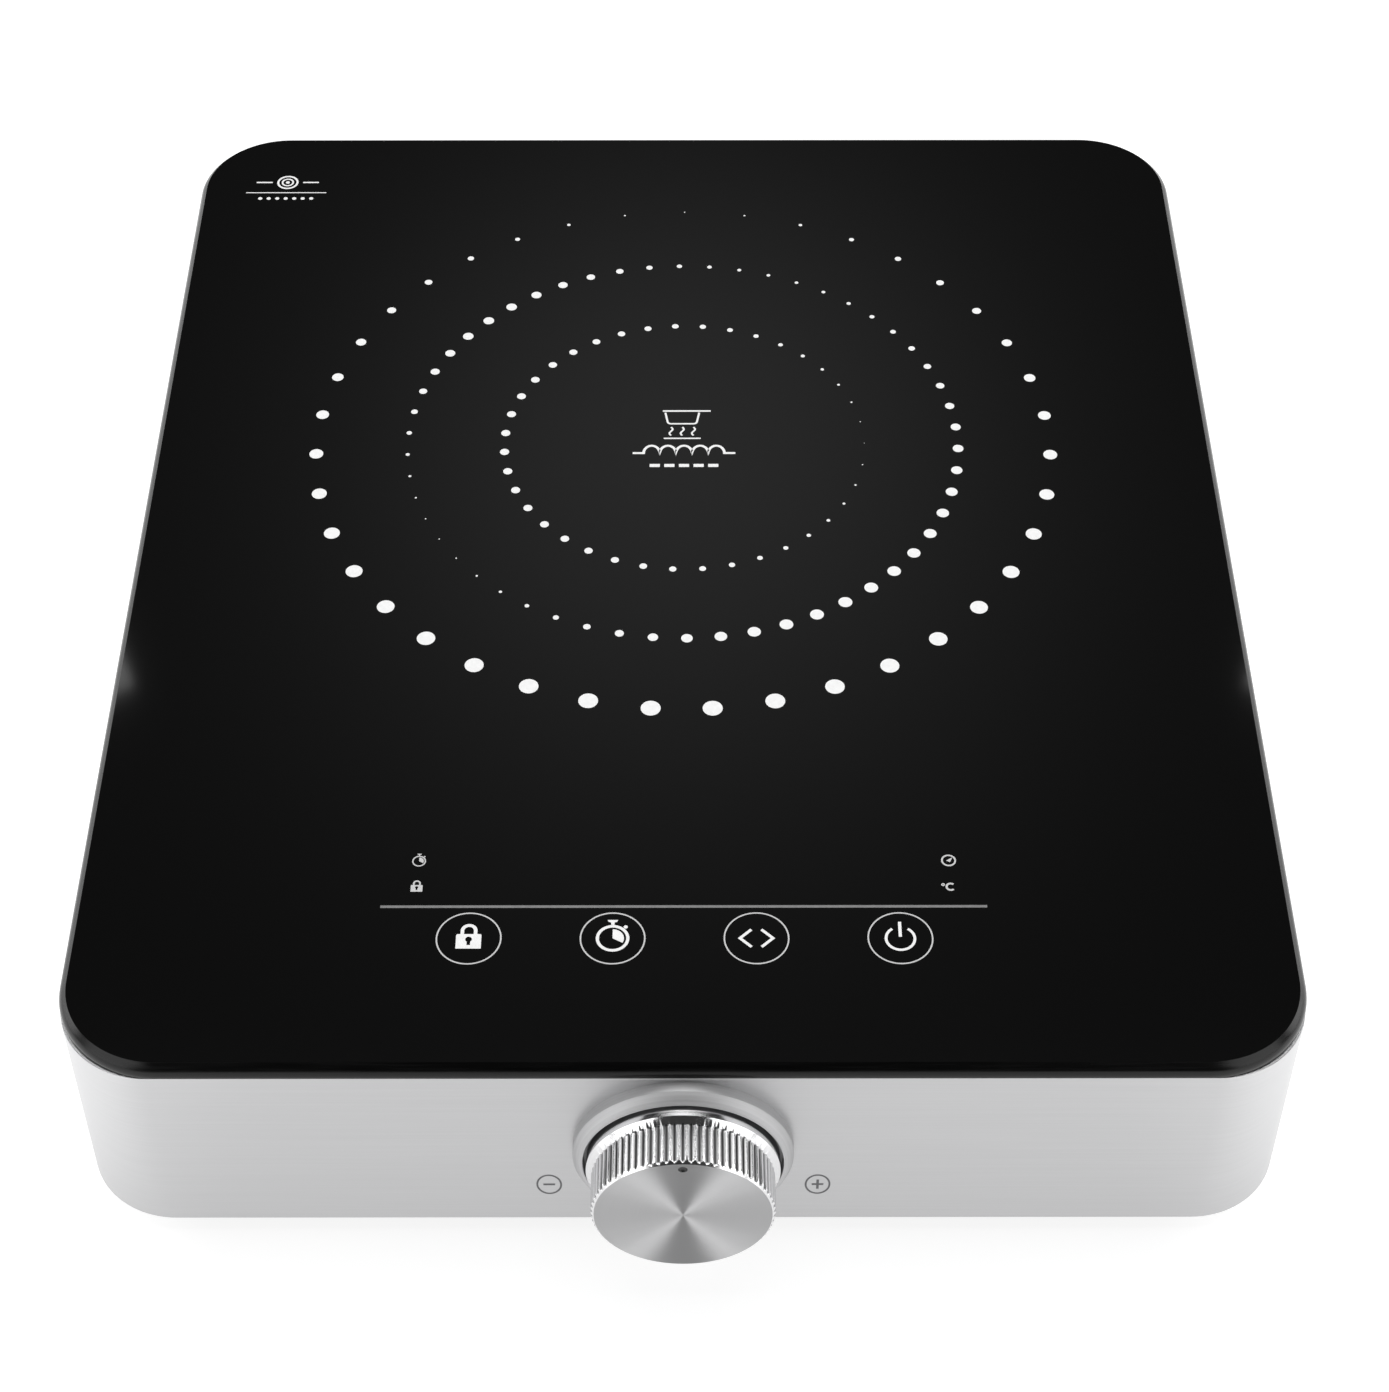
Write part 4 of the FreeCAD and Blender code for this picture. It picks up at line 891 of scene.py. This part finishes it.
def make_corner_mark(ink):
    """A plain mark of nested rings over a line and a row of dots, in the back left corner."""
    x, y = -119.8, 152.4
    sheet = bmesh.new()
    for radius, width in ((2.9, 0.6), (1.6, 0.5)):
        stroke(sheet, loop((x, y), radius, 40), width, closed=True)
    filled(sheet, loop((x, y), 0.6, 16))
    for side in (-1, 1):
        stroke(sheet, [(x + side * 4.6, y), (x + side * 9.4, y)], 0.55)
    stroke(sheet, [(x - 12.1, y - 5), (x + 12.0, y - 5)], 0.35)
    for i in range(7):
        filled(sheet, loop((x - 7.6 + 2.55 * i, y - 7.8), 0.62, 16))
    print_on("corner_mark", sheet, ink, on_glass)


def seam_angles(count, seam):
    """Angles of a ring's dots, in degrees clockwise; the gaps are wider near the seam, its smallest dot."""
    step, widening = 9.14, 1.88
    angles = []
    for i in range(count):
        k = i - (count - 1) // 2
        spread = step * abs(k) + widening * (1 - (1 - min(abs(k) / 3, 1)) ** 2)
        angles.append(seam + math.copysign(spread, k))
    return angles


def make_zone_dots(ink):
    """Three rings of dots round the cooking zone; each ring's dots swell and shrink along it."""
    def swelling(seam, widest, smallest, power):
        return lambda a: max(smallest, widest * abs(math.sin(math.radians(a - seam) / 2)) ** power)

    def two_swells(a):
        waves = ((0.357, 1, 116.9), (0.600, 2, -43.2), (0.221, 3, -52.7))
        return 1.128 + sum(size * math.cos(math.radians(n * (a - peak))) for size, n, peak in waves)

    drawn_in = 0.97     # the ink draws in a little as it is fired
    rings = ((100.9, -0.2, -0.5, seam_angles(39, 0.15), swelling(0, 2.62, 0.22, 0.9)),
             (75.75, -0.3, -0.75, [5.8 + 360 / 54 * i for i in range(54)], two_swells),
             (49.55, 0.1, -1.6, seam_angles(39, 90.2), swelling(90, 1.29, 0.1, 0.82)))
    points, radii = [], []
    for ring_r, aside, forward, angles, size in rings:
        for a in angles:
            turn = math.radians(a)
            points.append(((aside + ring_r * math.sin(turn)) * mm,
                           zone_y + (forward + ring_r * math.cos(turn)) * mm,
                           glass_top + ink_gap + ink_t / 2))
            radii.append(size(a) * drawn_in * mm)
    mesh = grown(points_mesh(points, radii), dots_tree(), Sides=24, Ink=ink, **{"Ink thickness": ink_t})
    finish_piece("zone_dots", mesh, [ink])


def make_band_signs(ink):
    """Minus and plus in upright ovals on the hoop, left and right of the knob."""
    aside, z = 32.1, -47.3
    arm_w, arm_h, half = 1.4, 1.9, 0.31
    sheet = bmesh.new()
    for x in (-aside, aside):
        oval = [(x + 2.85 * math.sin(TURN * i / 48), z + 3.85 * math.cos(TURN * i / 48)) for i in range(48)]
        stroke(sheet, oval, 0.45, closed=True)
    stroke(sheet, [(-aside - arm_w, z), (-aside + arm_w, z)], 2 * half)
    plus = [(-arm_w, -half), (-half, -half), (-half, -arm_h), (half, -arm_h), (half, -half), (arm_w, -half),
            (arm_w, half), (half, half), (half, arm_h), (-half, arm_h), (-half, half), (-arm_w, half)]
    filled(sheet, shifted(plus, (aside, z)))
    print_on("minus_and_plus", sheet, ink, on_band)


# ---- finishes, one for each material slot -------------------------------------------------------
def slot_finishes():
    """A finish for each of the record's material slots."""
    return {
        "glass": black_glass(),
        "silicone": moulded("silicone_rubber", ("#1C1C1D", "#242425"), (0.55, 0.7)),
        "black_moulding": moulded("black_polyamide", ("#131314", "#1B1B1C"), (0.42, 0.55)),
        "brushed_band": brushed_band(),
        "turned_aluminium": turned_metal("turned_aluminium", ("#DCDCDD", "#E8E8E9"), (0.12, 0.18), 1.5),
        "rubber": moulded("moulded_rubber", ("#121212", "#1A1A1A"), (0.65, 0.8), 0.9),
        "steel_hardware": hairlined("zinc_plated_steel", ("#A9ABB0", "#C3C5C8"), (0.25, 0.4), (1, 1, 1)),
        "white_moulding": moulded("glass_filled_polyester", ("#C9C5B6", "#D8D5C9"), (0.5, 0.65)),
        "grey_moulding": moulded("grey_abs", ("#505154", "#5E5F62"), (0.4, 0.5)),
        "black_plastic": moulded("black_polycarbonate", ("#17181A", "#202123"), (0.3, 0.45)),
        "circuit_board": moulded("solder_masked_board", ("#0E4A26", "#15602F"), (0.25, 0.4), 1.6),
        "light_guide": moulded("clear_acrylic", ("#D9DBDB", "#E8EAEA"), (0.08, 0.15),
                               Transmission_Weight=0.6),
        "spring_steel": hairlined("tinned_spring_steel", ("#B8B6AE", "#CDCBC4"), (0.2, 0.3), (1, 1, 1)),
        "copper": hairlined("enamelled_copper", ("#A8552E", "#C06A3C"), (0.25, 0.38), (3, 3, 1),
                            Coat_Weight=0.4),
        "ferrite": moulded("sintered_ferrite", ("#2B2B2D", "#38383B"), (0.5, 0.7), 0.8),
        "bare_aluminium": hairlined("extruded_aluminium", ("#B9BABC", "#CBCCCE"), (0.3, 0.45), (1, 60, 1)),
        "mica": moulded("mica_sheet", ("#A39377", "#BBAA8B"), (0.35, 0.5), 2.0),
        "sensor_glass": moulded("bead_glass", ("#9A5A2C", "#AE6C38"), (0.05, 0.1)),
        "film_capacitor": moulded("epoxy_box", ("#B98E1F", "#CDA233"), (0.25, 0.35)),
        "transformer_tape": moulded("polyester_tape", ("#D0A826", "#DDB93C"), (0.2, 0.3)),
        "fuse": moulded("ceramic_tube", ("#CFCDC5", "#DEDCD5"), (0.3, 0.4)),
        "brass": hairlined("tinned_brass", ("#C4B47C", "#D5C790"), (0.25, 0.35), (1, 1, 1)),
        "wire_sleeve": moulded("woven_glass_sleeve", ("#B5B2A6", "#CBC9BF"), (0.6, 0.8), 0.8, 0.1),
    }


def dress_nodes(finishes):
    """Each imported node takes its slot's finish."""
    for subpart in frame["record"]["subparts"]:
        node = nodes[subpart["node"]]
        node.data.materials.clear()
        node.data.materials.append(finishes[subpart["material_slot"]])


make_camera()
make_studio()
finish = slot_finishes()
dress_nodes(finish)
white_ink = ceramic_ink("white_ceramic_ink", ("#EAEAEA", "#F2F2F2"))
soft_ink = ceramic_ink("soft_white_ceramic_ink", ("#C2C2C2", "#CCCCCC"))
line_ink = ceramic_ink("grey_ceramic_ink", ("#767676", "#808080"))
band_ink = ceramic_ink("grey_pad_print", ("#68686A", "#727274"))
make_glass(finish["glass"], buffed_edge())
make_band(finish["brushed_band"])
make_grille(finish["black_moulding"])
make_bush(finish["rubber"])
make_feet(finish["rubber"])
make_base_screws(finish["steel_hardware"])
make_label(hairlined("brushed_aluminium_foil", ("#B4B6B8", "#C2C4C6"), (0.3, 0.4), (60, 1, 1)))
make_windings(finish["copper"], finish["spring_steel"], wound_tree())
make_knob(finish["turned_aluminium"],
          # The spun face's sectors are painted sheen.
          turned_metal("spun_aluminium", ("#CECECF", "#ECECED"), (0.54, 0.6), painted_sheen_sectors=1.6, Anisotropic=1.0),
          knurled_metal(), moulded("black_lacquer", ("#060606", "#0A0A0A"), (0.3, 0.4)))
make_bezel(turned_metal("satin_turned_aluminium", ("#BABABB", "#C4C4C5"), (0.54, 0.6)))
make_zone_dots(white_ink)
make_key_prints(white_ink, soft_ink, line_ink)
make_centre_prints(white_ink)
make_corner_mark(white_ink)
make_band_signs(band_ink)
